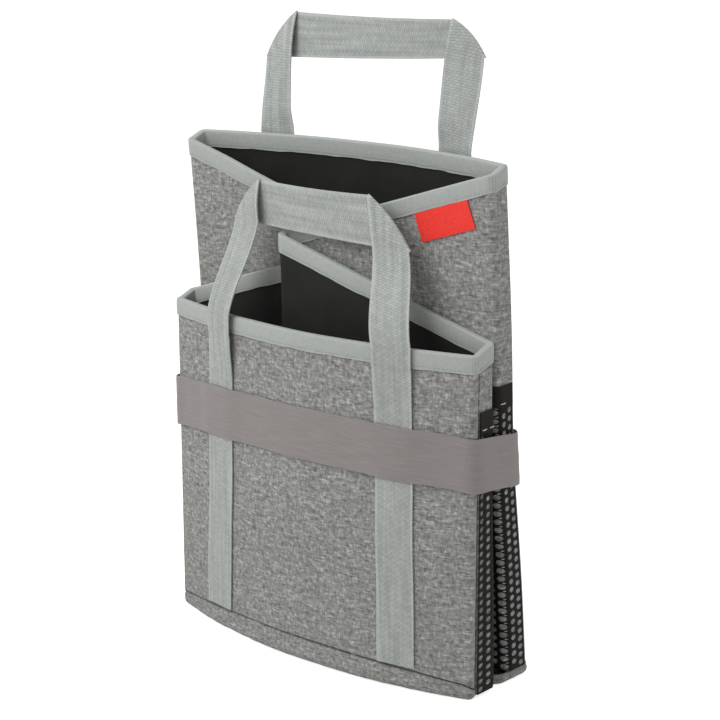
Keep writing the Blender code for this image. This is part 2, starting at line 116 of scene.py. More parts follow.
def smooth(value, start, end):
    """0 before start, 1 after end, and a soft rise between them."""
    share = np.clip((value - start) / (end - start), 0.0, 1.0)
    return share * share * (3 - 2 * share)


def unit(vectors):
    return vectors / np.linalg.norm(vectors, axis=-1, keepdims=True)


def grid(rows, columns):
    """Pairs of one value of each list."""
    return np.stack(np.meshgrid(rows, columns, indexing="ij"), axis=-1)


def running(steps):
    """The length before each step and after the last."""
    return np.concatenate([[0.0], np.cumsum(steps)])


def steps_round(line):
    """Step lengths round a closed line."""
    return np.linalg.norm(np.roll(line, -1, axis=0) - line, axis=1)


def waves(turns, table):
    """Waves round a loop, each by its height, how many go round, and where it starts."""
    return sum(height * np.sin(turns * count + start) for height, count, start in table)


RIPPLE_WAVES = 7
SHORTEST_RIPPLE = 0.7
LONGEST_RIPPLE = 1.6


def ripples(u, v, length, seed):
    """Uneven height of about -1 to 1 at (u, v), with its bumps about length apart."""
    draw = np.random.default_rng(seed)
    total = 0.0
    for _ in range(RIPPLE_WAVES):
        angle = draw.uniform(0, pi)
        turn = 2 * pi / (length * draw.uniform(SHORTEST_RIPPLE, LONGEST_RIPPLE))
        start = draw.uniform(0, 2 * pi)
        total = total + np.sin((u * cos(angle) + v * sin(angle)) * turn + start)
    return total / RIPPLE_WAVES ** 0.5


# The wall line

# How far straight stretches keep from their corners, and how many points each has
CORNER_MARGIN = 6.5
PANEL_STEPS = 96
HALF_STEPS = 48
BEND_STEPS = 6
CORNER_STEPS = 8


def bowed(x, depth):
    return depth * (1 - (x / HALF) ** 2)


def tip_reach(side_return):
    """How far a folded side reaches past the middle of the panels."""
    return SIDE_DEPTH / 2 - side_return - HALF


def left_tip(right_tip, spread, side_return):
    """Where the left fold lies, front to back, to clear the back half of the right one."""
    start = right_tip + TIP_WIDTH / 2
    reach = tip_reach(side_return)
    crossing = mix(start, spread - side_return, 2 * reach / (HALF + reach))
    return crossing - LINING_FACE + NESTING_CLEARANCE + TIP_HALF


def loop_corners(spread, side_return, near_more, right_tip, back_bow):
    """Corners of the wall line, anticlockwise from the front's left, each as its name,
    x, y, radius and steps."""
    tip_radius = TIP_ROUNDING * TIP_WIDTH
    reach = tip_reach(side_return)
    near, far = right_tip - TIP_WIDTH / 2, right_tip + TIP_WIDTH / 2
    left = left_tip(right_tip, spread, side_return)
    left_near, left_far = left - TIP_WIDTH / 2, left + TIP_WIDTH / 2
    bend_front, bend_back = side_return + near_more, spread - side_return
    corners = []

    def corner(name, x, y, radius=BEND_RADIUS, steps=BEND_STEPS):
        corners.append((name, x, y, radius, steps))

    def between(x0, y0, x1, y1, count, bow=0.0):
        margin = CORNER_MARGIN / np.hypot(x1 - x0, y1 - y0)
        for share in np.linspace(margin, 1 - margin, count):
            x, y = mix(x0, x1, share), mix(y0, y1, share)
            corners.append((None, x, y + np.sign(bow) * bowed(x, abs(bow)), 0.0, 0))

    corner("front_left", -HALF, 0.0, CORNER_RADIUS, CORNER_STEPS)
    between(-HALF, 0.0, HALF, 0.0, PANEL_STEPS, -FRONT_BOW)
    corner("front_right", HALF, 0.0, CORNER_RADIUS, CORNER_STEPS)
    corner("right_near_bend", HALF, bend_front)
    between(HALF, bend_front, -reach, near, HALF_STEPS)
    corner("right_near_tip", -reach, near, tip_radius)
    corner("right_far_tip", -reach, far, tip_radius)
    between(-reach, far, HALF, bend_back, HALF_STEPS)
    corner("right_far_bend", HALF, bend_back)
    corner("back_right", HALF, spread, CORNER_RADIUS, CORNER_STEPS)
    between(HALF, spread, -HALF, spread, PANEL_STEPS, back_bow)
    corner("back_left", -HALF, spread, CORNER_RADIUS, CORNER_STEPS)
    corner("left_far_bend", -HALF, bend_back)
    between(-HALF, bend_back, reach, left_far, HALF_STEPS)
    corner("left_far_tip", reach, left_far, tip_radius)
    corner("left_near_tip", reach, left_near, tip_radius)
    between(reach, left_near, -HALF, side_return, HALF_STEPS)
    corner("left_near_bend", -HALF, side_return)
    return corners


def rounded(corners):
    """The line's points, with an arc at each named corner, and each arc's first and last index."""
    points = []
    arcs = {}
    for k, (name, x, y, radius, steps) in enumerate(corners):
        here = Vector((x, y))
        if not name:
            points.append(here)
            continue
        before = Vector(corners[k - 1][1:3])
        after = Vector(corners[(k + 1) % len(corners)][1:3])
        inward = (here - before).normalized()
        outward = (after - here).normalized()
        turn = atan2(inward.x * outward.y - inward.y * outward.x, inward.dot(outward))
        start = here - inward * radius * tan(abs(turn) / 2)
        side = Vector((-inward.y, inward.x)) * (1 if turn > 0 else -1)
        centre = start + side * radius
        arm = start - centre
        arcs[name] = (len(points), len(points) + steps)
        for j in range(steps + 1):
            angle = turn * j / steps
            swung_x = arm.x * cos(angle) - arm.y * sin(angle)
            swung_y = arm.x * sin(angle) + arm.y * cos(angle)
            points.append(centre + Vector((swung_x, swung_y)))
    return np.array([tuple(p) for p in points]), arcs


FLOOR_LINE, ARCS = rounded(
    loop_corners(BOTTOM_SPREAD, RETURN_BOTTOM, NEAR_RETURN_MORE, RIGHT_TIP_BOTTOM, BACK_BOW_BOTTOM)
)
TOP_LINE, _ = rounded(
    loop_corners(TOP_SPREAD, RETURN_TOP, NEAR_RETURN_MORE_TOP, RIGHT_TIP_TOP, BACK_BOW_TOP)
)
STATIONS = len(FLOOR_LINE)

# Lengths along the line at half height, for two rounds of stations
ALONG = running(np.tile(steps_round((FLOOR_LINE + TOP_LINE) / 2), 2))
ROUNDS = np.arange(2 * STATIONS + 1)


def along(stations):
    """Millimetres along the wall line; the left side counts past the end of the first round."""
    return np.interp(stations, ROUNDS, ALONG)


def stations_at(lengths):
    return np.interp(lengths, ALONG, ROUNDS)


def bend_distance():
    """How far each station lies from the nearest corner or bend."""
    centres = [np.mean(span) + turn for span in ARCS.values() for turn in (0, STATIONS)]
    places = along(np.array(sorted(centres)))
    return np.abs(ALONG[:, None] - places[None, :]).min(axis=1)


BEND_DISTANCE = bend_distance()
UNEVEN = 0.55
UNEVEN_LENGTH = 95.0
EVEN_TO = 4.0
UNEVEN_FROM = 45.0


def unevenness(stations, z):
    """How far the whole wall stands out or in, where the cloth and board aren't quite flat."""
    fade = smooth(np.interp(stations, ROUNDS, BEND_DISTANCE), EVEN_TO, UNEVEN_FROM)
    return UNEVEN * fade * ripples(along(stations), z, UNEVEN_LENGTH, seed=3)


CINCH = 0.10
CINCH_REACH = 70.0


def whole_points(index, z):
    """Points of the wall line, which the band draws together around its own height."""
    drawn = CINCH * np.exp(-((z - BAND_MIDDLE) / CINCH_REACH) ** 2)
    share = (z / BACK_HEIGHT + drawn)[..., None]
    return mix(FLOOR_LINE[index % STATIONS], TOP_LINE[index % STATIONS], share)


def whole_arms(index, z):
    """Outward arms at whole stations, long enough that offset lines stay parallel."""
    here = whole_points(index, z)
    inward = unit(here - whole_points(index - 1, z))
    outward = unit(whole_points(index + 1, z) - here)
    right_in = np.stack([inward[..., 1], -inward[..., 0]], axis=-1)
    right_out = np.stack([outward[..., 1], -outward[..., 0]], axis=-1)
    middle = unit(right_in + right_out)
    return middle / (middle * right_in).sum(axis=-1, keepdims=True)


def wall_points(stations, z, offset):
    """Points offset outwards from the wall line."""
    stations, z, offset = np.broadcast_arrays(
        np.asarray(stations, float), np.asarray(z, float), np.asarray(offset, float)
    )
    low = np.floor(stations).astype(int)
    share = (stations - low)[..., None]
    place = mix(whole_points(low, z), whole_points(low + 1, z), share)
    arm = mix(whole_arms(low, z), whole_arms(low + 1, z), share)
    reach = offset + unevenness(stations, z)
    spot = place + arm * reach[..., None]
    return np.concatenate([spot, z[..., None]], axis=-1)


# Places on the wall line


def middle_of(name):
    return (ARCS[name][0] + ARCS[name][1]) / 2


PANELS = {"front": ("front_left", "front_right"), "back": ("back_right", "back_left")}
WRAP = middle_of("front_left") + STATIONS
SIDES = {
    "right": (middle_of("front_right"), middle_of("back_right")),
    "left": (WRAP, middle_of("back_left")),
}


def panel_span(panel):
    """Whole stations of the front or back panel with both its corners."""
    start, end = PANELS[panel]
    return np.arange(ARCS[start][0], ARCS[end][1] + 1)


def panel_station(panel, x):
    """The station of the front or back panel that lies at x."""
    start, end = PANELS[panel]
    whole = np.arange(ARCS[start][1], ARCS[end][0] + 1)
    places = FLOOR_LINE[whole, 0]
    order = np.argsort(places)
    return np.interp(x, places[order], whole[order])


def side_share(stations, side):
    """How far along the side panel a station lies: 0 at the front corner, 1 at the back."""
    start, end = SIDES[side]
    share = (along(stations) - along(start)) / (along(end) - along(start))
    return np.clip(share, 0.0, 1.0)


def rim_height(stations):
    """Height of the rim: level along the panels, and sloping up along each side."""
    spot = np.asarray(stations, float) % STATIONS
    share = np.minimum(side_share(spot, "right"), side_share(spot, "left"))
    return mix(FRONT_HEIGHT, BACK_HEIGHT, share)


def seam_height(stations):
    """Where the walls end and the base fabric begins."""
    spot = np.asarray(stations, float) % STATIONS
    x = np.interp(spot, np.arange(STATIONS), FLOOR_LINE[:, 0])
    heights = np.full(spot.shape, SIDE_SEAM)
    for start, end in PANELS.values():
        up = np.clip((spot - ARCS[start][0]) / CORNER_STEPS, 0.0, 1.0)
        down = np.clip((ARCS[end][1] - spot) / CORNER_STEPS, 0.0, 1.0)
        heights += (CORNER_SEAM - SIDE_SEAM + bowed(x, SEAM_RISE)) * up * down
    return heights


def tape_middle(stations, side):
    return mix(TAPE_FRONT, TAPE_BACK, side_share(stations, side))


SHORTEST_STEP = 0.2


def run_of(start, end, step=1.0):
    """Stations from start to end, at every whole one between."""
    whole = np.arange(np.ceil(start + SHORTEST_STEP), np.floor(end - SHORTEST_STEP) + 1, step)
    return np.concatenate([[start], whole, [end]])


# Meshes

SHARP_EDGE = 50


def new_piece(name, points, faces, uvs, look, nodes=()):
    """An object from points in millimetres and faces with their UVs, riding on the body.
    Its look is a material and a slot name, which is not used."""
    material, record_slot = look
    mesh = bpy.data.meshes.new(name)
    mesh.from_pydata((np.asarray(points) * MM).tolist(), [], faces)
    layer = mesh.uv_layers.new(name="cloth")
    layer.data.foreach_set("uv", np.asarray(uvs, dtype=np.float32).ravel())
    mesh.materials.append(material)
    mesh.shade_smooth()
    mesh.set_sharp_from_angle(angle=radians(SHARP_EDGE))
    piece = bpy.data.objects.new(name, mesh)
    bpy.context.scene.collection.objects.link(piece)
    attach(piece, "root")
    if nodes:
        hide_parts(*nodes)
    return piece


def loft_faces(rings, uv, closed=False, base=0):
    """Faces through there-and-back rings of points, with ladders of quads over open ends."""
    count, size = rings.shape[:2]
    last = count if closed else count - 1
    n, m = np.meshgrid(np.arange(last), np.arange(size), indexing="ij")
    n, m = n.ravel(), m.ravel()
    ahead, across = (n + 1) % count, (m + 1) % size
    corners = [n * size + m, ahead * size + m, ahead * size + across, n * size + across]
    faces = np.stack(corners, axis=1).tolist()
    uvs = np.stack([uv[n, m], uv[n + 1, m], uv[n + 1, m + 1], uv[n, m + 1]], axis=1)
    uvs = uvs.reshape(-1, 2).tolist()
    for end in () if closed else (0, count - 1):
        for j in range(size // 2 - 1):
            rung = [j, j + 1, size - 2 - j, size - 1 - j][::-1 if end else 1]
            faces.append([end * size + k for k in rung])
            uvs += [uv[end, k].tolist() for k in rung]
    return [[k + base for k in face] for face in faces], uvs


def loft(name, rings, uv, look, nodes, closed=False):
    """A piece through rings of points; uv has one column more, and one row where it closes."""
    faces, uvs = loft_faces(rings, uv, closed)
    return new_piece(name, rings.reshape(-1, 3), faces, uvs, look, nodes)


def there_and_back(outer, inner, face_uv):
    """Rings that run up a sheet's outer face and down its inner one, with their UVs."""
    rings = np.concatenate([outer, inner[:, ::-1]], axis=1)
    return rings, np.concatenate([face_uv, face_uv[:, ::-1], face_uv[:, :1]], axis=1)


ROW_STEP = 5.0


def wall_sheet(name, stations, low, high, inside, outside, look, nodes, step=ROW_STEP):
    """A cloth layer between two heights and two offsets from the wall line."""
    rows = int(round((high - low).max() / step))
    z = mix(low[:, None], high[:, None], np.linspace(0.0, 1.0, rows + 1)[None, :])
    spread = np.repeat(stations[:, None], rows + 1, axis=1)
    outer, inner = wall_points(spread, z, outside), wall_points(spread, z, inside)
    rings, uv = there_and_back(outer, inner, np.stack([along(spread), z], axis=-1))
    return loft(name, rings, uv, look, nodes)


# Materials

POLYMER_IOR = 1.5
SHEEN_ROUGHNESS = 0.5
CROWN_FLATNESS = 0.6
YARN_JUMP = 7.31


def linear(code):
    """A linear colour with alpha, from an sRGB hex value."""
    channels = [int(code[k:k + 2], 16) / 255 for k in (1, 3, 5)]
    return (*[c / 12.92 if c <= 0.04045 else ((c + 0.055) / 1.055) ** 2.4 for c in channels], 1.0)


def add(tree, kind, inputs=None, stops=(), into=None, **settings):
    """A node with its settings, its inputs, a ramp's stops, and the socket that it feeds.
    An input is a value, a socket, or a node that gives its first output."""
    made = tree.nodes.new("ShaderNode" + kind)
    for name, value in settings.items():
        setattr(made, name, value)
    for name, value in (inputs or {}).items():
        if isinstance(value, bpy.types.Node):
            value = value.outputs[0]
        if isinstance(value, bpy.types.NodeSocket):
            tree.links.new(value, made.inputs[name])
        else:
            made.inputs[name].default_value = value
    for k, (position, colour) in enumerate(stops):
        elements = made.color_ramp.elements
        element = elements[k] if k < len(elements) else elements.new(position)
        element.position = position
        element.color = linear(colour)
    if into:
        tree.links.new(made.outputs[0], into)
    return made


def start_material(name, roughness, sheen=0.0, specular=0.5):
    """A material, its nodes, and the cloth's own coordinates in millimetres."""
    material = bpy.data.materials.new(name)
    material.use_nodes = True
    tree = material.node_tree
    shader = tree.nodes["Principled BSDF"]
    shader.inputs["Roughness"].default_value = roughness
    shader.inputs["IOR"].default_value = POLYMER_IOR
    shader.inputs["Specular IOR Level"].default_value = specular
    shader.inputs["Sheen Weight"].default_value = sheen
    shader.inputs["Sheen Roughness"].default_value = SHEEN_ROUGHNESS
    return material, tree, add(tree, "UVMap", uv_map="cloth")


def finish_material(material, tone, stops, height, relief):
    """Colours a material by a tone, and raises it by a height of so many millimetres."""
    tree = material.node_tree
    shader = tree.nodes["Principled BSDF"]
    add(tree, "ValToRGB", {"Fac": tone}, stops, into=shader.inputs["Base Color"])
    inputs = {"Height": height, "Distance": relief * MM}
    add(tree, "Bump", inputs, into=shader.inputs["Normal"])
    return material


def add_ribs(tree, place, pitch, flatness=1.0):
    """Ribs a pitch apart, from 0 in the grooves to 1 on the crowns."""
    turns = add(tree, "Math", {0: place, 1: pi / pitch}, operation="MULTIPLY")
    wave = add(tree, "Math", {0: turns}, operation="SINE")
    lifted = add(tree, "Math", {0: wave}, operation="ABSOLUTE")
    return add(tree, "Math", {0: lifted, 1: flatness}, operation="POWER")


def add_weave(tree, uv, pitch):
    """Plain weave of yarns a pitch apart: its coordinates in yarns, and the crowns' height."""
    scaled = add(tree, "VectorMath", {0: uv, 1: (1 / pitch, 1 / pitch, 0.0)}, operation="MULTIPLY")
    yarns = add(tree, "SeparateXYZ", {0: scaled})
    over = add(tree, "TexChecker", {"Vector": scaled, "Scale": 1.0})
    weft, warp = (add_ribs(tree, yarns.outputs[k], 1.0, CROWN_FLATNESS) for k in "YX")
    inputs = {"Factor": over.outputs["Fac"], 2: weft, 3: warp}
    return yarns, add(tree, "Mix", inputs, data_type="FLOAT")


def yarn_tone(tree, yarns, own_axis, other_axis, length, seed):
    """A tone that changes slowly along each yarn and jumps from one yarn to the next."""
    yarn = add(tree, "Math", {0: yarns.outputs[other_axis]}, operation="FLOOR")
    jump = add(tree, "Math", {0: yarn, 1: YARN_JUMP}, operation="MULTIPLY")
    inputs = {0: yarns.outputs[own_axis], 1: 1 / length}
    stretched = add(tree, "Math", inputs, operation="MULTIPLY")
    spot = add(tree, "CombineXYZ", {0: stretched, 1: jump, 2: seed})
    inputs = {"Vector": spot, "Scale": 1.0, "Detail": 2.0, "Roughness": 0.6}
    return add(tree, "TexNoise", inputs)


MELANGE_YARN = 1.0
WEFT_STREAK = 8.0
WARP_STREAK = 5.0
SLUB_LENGTH = 3.2


def woven_polyester_melange():
    """Woven polyester melange: yarns spun from dark and pale fibres, so short streaks of
    both run along the weft and the warp, matt with a soft fuzz. The real yarns are 0.5 mm
    apart and are drawn at 1 mm, so that they show."""
    material, tree, uv = start_material("woven polyester melange", 0.9, sheen=0.1, specular=0.3)
    yarns, height = add_weave(tree, uv, MELANGE_YARN)
    weft = yarn_tone(tree, yarns, "X", "Y", WEFT_STREAK, 1.0)
    warp = yarn_tone(tree, yarns, "Y", "X", WARP_STREAK, 5.0)
    crossed = add(tree, "Mix", {"Factor": 0.42, 2: weft, 3: warp}, data_type="FLOAT")
    slub = add(tree, "TexNoise", {"Vector": uv, "Scale": 1 / SLUB_LENGTH, "Detail": 2.0})
    tone = add(tree, "Mix", {"Factor": 0.3, 2: crossed, 3: slub}, data_type="FLOAT")
    stops = [(0.36, "#605f5d"), (0.46, "#848481"), (0.54, "#9b9b98"), (0.64, "#c5c4c0")]
    return finish_material(material, tone, stops, height, 0.16)


LINING_YARN = 0.6
LINING_CLOUD = 28.0


def plain_weave_lining():
    """Coated black polyester lining: an even, dull near-black with a fine plain weave."""
    material, tree, uv = start_material("coated black polyester lining", 0.85, specular=0.25)
    _, height = add_weave(tree, uv, LINING_YARN)
    cloud = add(tree, "TexNoise", {"Vector": uv, "Scale": 1 / LINING_CLOUD, "Detail": 3.0})
    return finish_material(material, cloud, [(0.3, "#1b1c1a"), (0.7, "#252623")], height, 0.08)


WEBBING_ROW = 2.0
WEBBING_FLOAT = 3.8
FLOAT_FLATNESS = 0.25
SELVEDGE = 1.8
WARP_LINE = 3.0
WARP_RUN = 70.0


def polypropylene_webbing():
    """Polypropylene webbing: flat multifilament weft floats lie in staggered rows across
    the band, which shows as fine cross dashes between two paler, denser selvedges, with a
    slight gloss, and the tight warp draws faint lines along it. The real rows are 1.2 mm
    apart and are drawn at 2 mm, so that they show."""
    material, tree, uv = start_material("polypropylene webbing", 0.6, sheen=0.08)
    parts = add(tree, "SeparateXYZ", {0: uv})
    across, lengthwise = parts.outputs["X"], parts.outputs["Y"]
    rows = add(tree, "Math", {0: lengthwise, 1: 1 / WEBBING_ROW}, operation="MULTIPLY")
    row = add(tree, "Math", {0: rows}, operation="FLOOR")
    floats = add(tree, "Math", {0: across, 1: 1 / WEBBING_FLOAT}, operation="MULTIPLY")
    stagger = add(tree, "Math", {0: row, 1: 0.5, 2: floats}, operation="MULTIPLY_ADD")
    row_crowns = add_ribs(tree, rows, 1.0, CROWN_FLATNESS)
    float_crowns = add_ribs(tree, stagger, 1.0, FLOAT_FLATNESS)
    height = add(tree, "Math", {0: row_crowns, 1: float_crowns}, operation="MULTIPLY")
    yarn = add(tree, "Math", {0: stagger}, operation="FLOOR")
    spot = add(tree, "CombineXYZ", {0: yarn, 1: row})
    lot = add(tree, "TexWhiteNoise", {"Vector": spot}, noise_dimensions="2D")
    inputs = {"Factor": 0.3, 2: height, 3: lot.outputs["Value"]}
    tone = add(tree, "Mix", inputs, data_type="FLOAT")
    inputs = {0: uv, 1: (1 / WARP_LINE, 1 / WARP_RUN, 0.0)}
    drawn = add(tree, "VectorMath", inputs, operation="MULTIPLY")
    lines = add(tree, "TexNoise", {"Vector": drawn, "Scale": 1.0, "Detail": 1.0})
    lined = add(tree, "Mix", {"Factor": 0.55, 2: tone, 3: lines}, data_type="FLOAT")
    from_middle = add(tree, "Math", {0: across, 1: WEBBING / 2}, operation="SUBTRACT")
    out = add(tree, "Math", {0: from_middle}, operation="ABSOLUTE")
    edge = add(tree, "Math", {0: out, 1: WEBBING / 2 - SELVEDGE}, operation="GREATER_THAN")
    shade = add(tree, "Math", {0: edge, 1: 0.15, 2: lined}, operation="MULTIPLY_ADD")
    stops = [(0.3, "#868a87"), (0.55, "#9ca09d"), (0.8, "#b3b7b3")]
    return finish_material(material, shade, stops, height, 0.12)


BINDING_RIB = 1.1
BINDING_CLOUD = 3.0


def grosgrain_binding():
    """Polyester grosgrain tape: pale grey, close cross ribs, smooth from a step away."""
    material, tree, uv = start_material("polyester grosgrain tape", 0.7, sheen=0.1)
    parts = add(tree, "SeparateXYZ", {0: uv})
    rib = add_ribs(tree, parts.outputs["X"], BINDING_RIB)
    inputs = {"Vector": uv, "Scale": 1 / BINDING_CLOUD, "Detail": 4.0, "Roughness": 0.65}
    cloud = add(tree, "TexNoise", inputs)
    shade = add(tree, "Mix", {"Factor": 0.7, 2: rib, 3: cloud}, data_type="FLOAT")
    return finish_material(material, shade, [(0.2, "#949895"), (0.8, "#aeb2ae")], shade, 0.14)


ELASTIC_ROW = 1.4
ELASTIC_STREAK = 22.0
ELASTIC_GRAIN = 0.9


def knitted_elastic():
    """Knitted polyester elastic: rubber threads under warm grey yarn, seen as faint
    streaks along the band."""
    material, tree, uv = start_material("knitted polyester elastic", 0.75, sheen=0.1)
    inputs = {0: uv, 1: (1 / ELASTIC_STREAK, 1 / ELASTIC_ROW, 0.0)}
    spot = add(tree, "VectorMath", inputs, operation="MULTIPLY")
    inputs = {"Vector": spot, "Scale": 1.0, "Detail": 4.0, "Roughness": 0.6}
    streak = add(tree, "TexNoise", inputs)
    grain = add(tree, "TexNoise", {"Vector": uv, "Scale": 1 / ELASTIC_GRAIN, "Detail": 1.0})
    shade = add(tree, "Mix", {"Factor": 0.4, 2: streak, 3: grain}, data_type="FLOAT")
    return finish_material(material, shade, [(0.3, "#7c7775"), (0.7, "#8f8987")], shade, 0.3)


NET_GRAIN = 0.7


def black_net():
    """Warp-knitted polyester net: round black yarn with a slight gloss."""
    material, tree, uv = start_material("warp-knitted black polyester", 0.7, specular=0.12)
    grain = add(tree, "TexNoise", {"Vector": uv, "Scale": 1 / NET_GRAIN, "Detail": 2.0})
    return finish_material(material, grain, [(0.3, "#090807"), (0.7, "#151312")], grain, 0.2)


TAPE_RIB = 1.0


def black_elastic_tape():
    """Black woven elastic: fine ribs along the tape, dull."""
    material, tree, uv = start_material("black woven elastic", 0.8, specular=0.15)
    parts = add(tree, "SeparateXYZ", {0: uv})
    rib = add_ribs(tree, parts.outputs["Y"], TAPE_RIB)
    return finish_material(material, rib, [(0.1, "#11100f"), (0.8, "#201e1c")], rib, 0.15)


FIBRE_LENGTH = 2.5


def pressed_fibreboard():
    """Pressed fibreboard: dull brown with short pale fibres."""
    material, tree, uv = start_material("pressed fibreboard", 0.9)
    inputs = {"Vector": uv, "Scale": 1 / FIBRE_LENGTH, "Detail": 6.0, "Distortion": 1.5}
    fibre = add(tree, "TexNoise", inputs)
    return finish_material(material, fibre, [(0.3, "#8a6f53"), (0.7, "#a98f70")], fibre, 0.2)


SATIN_YARN = 0.5
SATIN_CLOUD = 2.0


def satin_tag():
    """Red damask satin tag: close even yarns with a low gloss, folded at its ends, bare."""
    material, tree, uv = start_material("red polyester satin", 0.55, sheen=0.05)
    _, height = add_weave(tree, uv, SATIN_YARN)
    cloud = add(tree, "TexNoise", {"Vector": uv, "Scale": 1 / SATIN_CLOUD, "Detail": 3.0})
    return finish_material(material, cloud, [(0.3, "#ea2414"), (0.7, "#fb3222")], height, 0.08)


THREAD_PLY = 0.7


def sewing_thread(name, dark, pale):
    """Twisted polyester thread: slanted plies and a soft gloss."""
    material, tree, uv = start_material(name, 0.5, sheen=0.1)
    parts = add(tree, "SeparateXYZ", {0: uv})
    inputs = {0: parts.outputs["X"], 1: parts.outputs["Y"]}
    slant = add(tree, "Math", inputs, operation="ADD")
    ply = add_ribs(tree, slant, THREAD_PLY)
    return finish_material(material, ply, [(0.1, dark), (0.7, pale)], ply, 0.1)


# Each look is a material and a slot name
MELANGE = woven_polyester_melange(), "melange"
LINING = plain_weave_lining(), "lining"
WEBBING_CLOTH = polypropylene_webbing(), "webbing"
GROSGRAIN = grosgrain_binding(), "binding"
ELASTIC = knitted_elastic(), "elastic"
NET = black_net(), "net"
BLACK_TAPE = black_elastic_tape(), "net"
FIBREBOARD = pressed_fibreboard(), "board"
SATIN = satin_tag(), "tag"
GREY_THREAD = sewing_thread("grey polyester thread", "#858a87", "#b0b5b1"), "binding"
WHITE_THREAD = sewing_thread("off-white polyester thread", "#a49c90", "#d9d2c6"), "net"


# Walls

# The front's cloth runs round its right corner, to a seam just past the arc
SEAM_SHIFT = 0.12
RIGHT_SEAM = ARCS["front_right"][1] + SEAM_SHIFT
WALL_RUNS = {
    "front": (middle_of("front_left"), RIGHT_SEAM),
    "right": (RIGHT_SEAM, middle_of("back_right")),
    "back": (middle_of("back_right"), middle_of("back_left")),
    "left": (middle_of("back_left"), WRAP),
}
# Between neighbouring walls, in stations
WALL_GAP = CLEAR / 8
SEAM_PUCKER = 1.1
PUCKER_STATIONS = 1.2
HEM_DROP = 6.5
HEM_WIDTH = 23.0
HEM_SLOPE = 4.0


def seam_tuck(stations, seams):
    """How far a wall's outer cloth dips into the corner seams it is sewn to."""
    nearest = np.abs(stations[:, None] - np.array(seams)[None, :]).min(axis=1)
    return SEAM_PUCKER * (1 - smooth(nearest, 0.0, PUCKER_STATIONS))


def beside_front_corner(stations, side, width):
    """1 on the narrow strip of a side panel beside its front corner, and 0 elsewhere."""
    span = along(SIDES[side][1]) - along(SIDES[side][0])
    distance = side_share(stations, side) * abs(span)
    return smooth(distance, 0.0, HEM_SLOPE) * (1 - smooth(distance, width - HEM_SLOPE, width))


def build_walls():
    for wall, (start, end) in WALL_RUNS.items():
        stations = run_of(start + WALL_GAP, end - WALL_GAP)
        low = seam_height(stations)
        high = rim_height(stations) - BINDING - CLEAR
        hem = low
        if wall in SIDES:
            hem = low - HEM_DROP * beside_front_corner(stations, wall, HEM_WIDTH)
        tuck = seam_tuck(stations, (start, end))[:, None]
        outer = wall_sheet(
            wall + "_melange", stations, hem, high, OUTER_INSIDE - tuck, OUTER_FACE - tuck, MELANGE,
            [wall + "_outer"],
        )
        inner = wall_sheet(
            wall + "_inner_cloth", stations, low, high, LINING_FACE, LINING_INSIDE, LINING,
            [wall + "_lining"],
        )


BOARD_RUNS = {
    "front_board": ("front_left", "front_right"),
    "back_board": ("back_right", "back_left"),
    "right_board_near": ("right_near_bend", "right_near_tip"),
    "right_board_far": ("right_far_tip", "right_far_bend"),
    "left_board_far": ("left_far_bend", "left_far_tip"),
    "left_board_near": ("left_near_tip", "left_near_bend"),
}
BOARD_MARGIN = 6.0
BOARD_SETBACK = 0.3
BOARD_STEP = 12.0


def build_boards():
    for node, (start, end) in BOARD_RUNS.items():
        first, last = ARCS[start][1] + BOARD_SETBACK, ARCS[end][0] - BOARD_SETBACK
        stations = run_of(first, last, step=2.0)
        low = seam_height(stations) + BOARD_MARGIN
        high = rim_height(stations) - BINDING - CLEAR - BOARD_MARGIN
        wall_sheet(
            node + "_panel", stations, low, high, -BOARD_FACE, BOARD_FACE, FIBREBOARD, [node],
            BOARD_STEP,
        )


BASE_BOARD = 2.0
BASE_BOARD_GAP = 0.6
BASE_BOARD_BOTTOM = 2.5
BASE_BOARD_LENGTH = 191.0
BASE_BOARD_SETBACK = 1.0


def build_base_boards():
    """The stiff bottom in two halves, folded up inside against the panels."""
    outside = LINING_FACE - BASE_BOARD_GAP
    for panel, (start, end) in PANELS.items():
        node = "base_board_" + panel
        first, last = ARCS[start][1] + BASE_BOARD_SETBACK, ARCS[end][0] - BASE_BOARD_SETBACK
        stations = run_of(first, last)
        low = np.full(len(stations), BASE_BOARD_BOTTOM)
        wall_sheet(
            node + "_cover", stations, low, low + BASE_BOARD_LENGTH, outside - BASE_BOARD, outside,
            LINING, [node],
        )


# Rim binding

BINDING_DOME = 1.7
DOME_ROUNDING = 0.7
DOME_STEPS = 5
BINDING_ROWS = 7
BINDING_PUFF = 0.15
BINDING_STITCH_DROP = 11.3
STITCH_PULL = 0.25
STITCH_REACH = 2.0
LOWER_EDGE = 0.1
FLAT_SIDES = 2.3
EDGE_WAVES = [(0.2, 31, 0.0), (0.15, 47, 1.0), (0.1, 83, 2.0)]
PUFF_WAVES = [(0.08, 59, 0.5), (0.06, 101, 0.0)]


def binding_profile():
    """Points of the folded tape's section: (offset, height above the rim), outer face first."""
    middle = (BINDING_OUTSIDE + BINDING_INSIDE) / 2
    half = (BINDING_OUTSIDE - BINDING_INSIDE) / 2
    outside = []
    for share in np.linspace(0.0, 1.0, BINDING_ROWS):
        rise = mix(-BINDING_HEIGHT, -BINDING_DOME, share)
        pull = STITCH_PULL * (1 - smooth(abs(rise + BINDING_STITCH_DROP), 0.0, STITCH_REACH))
        outside.append((half + BINDING_PUFF * sin(pi * share) - pull, rise))
    for k in range(1, DOME_STEPS):
        angle = pi / 2 * k / DOME_STEPS
        outside.append((half * cos(angle) ** DOME_ROUNDING, -BINDING_DOME * (1 - sin(angle))))
    inside = [(-x, z) for x, z in reversed(outside)]
    hollow = [
        (-half + BINDING, -BINDING_HEIGHT), (-half + BINDING, -BINDING),
        (half - BINDING, -BINDING), (half - BINDING, -BINDING_HEIGHT),
    ]
    return np.array([(middle + x, z) for x, z in outside + [(0.0, 0.0)] + inside + hollow])


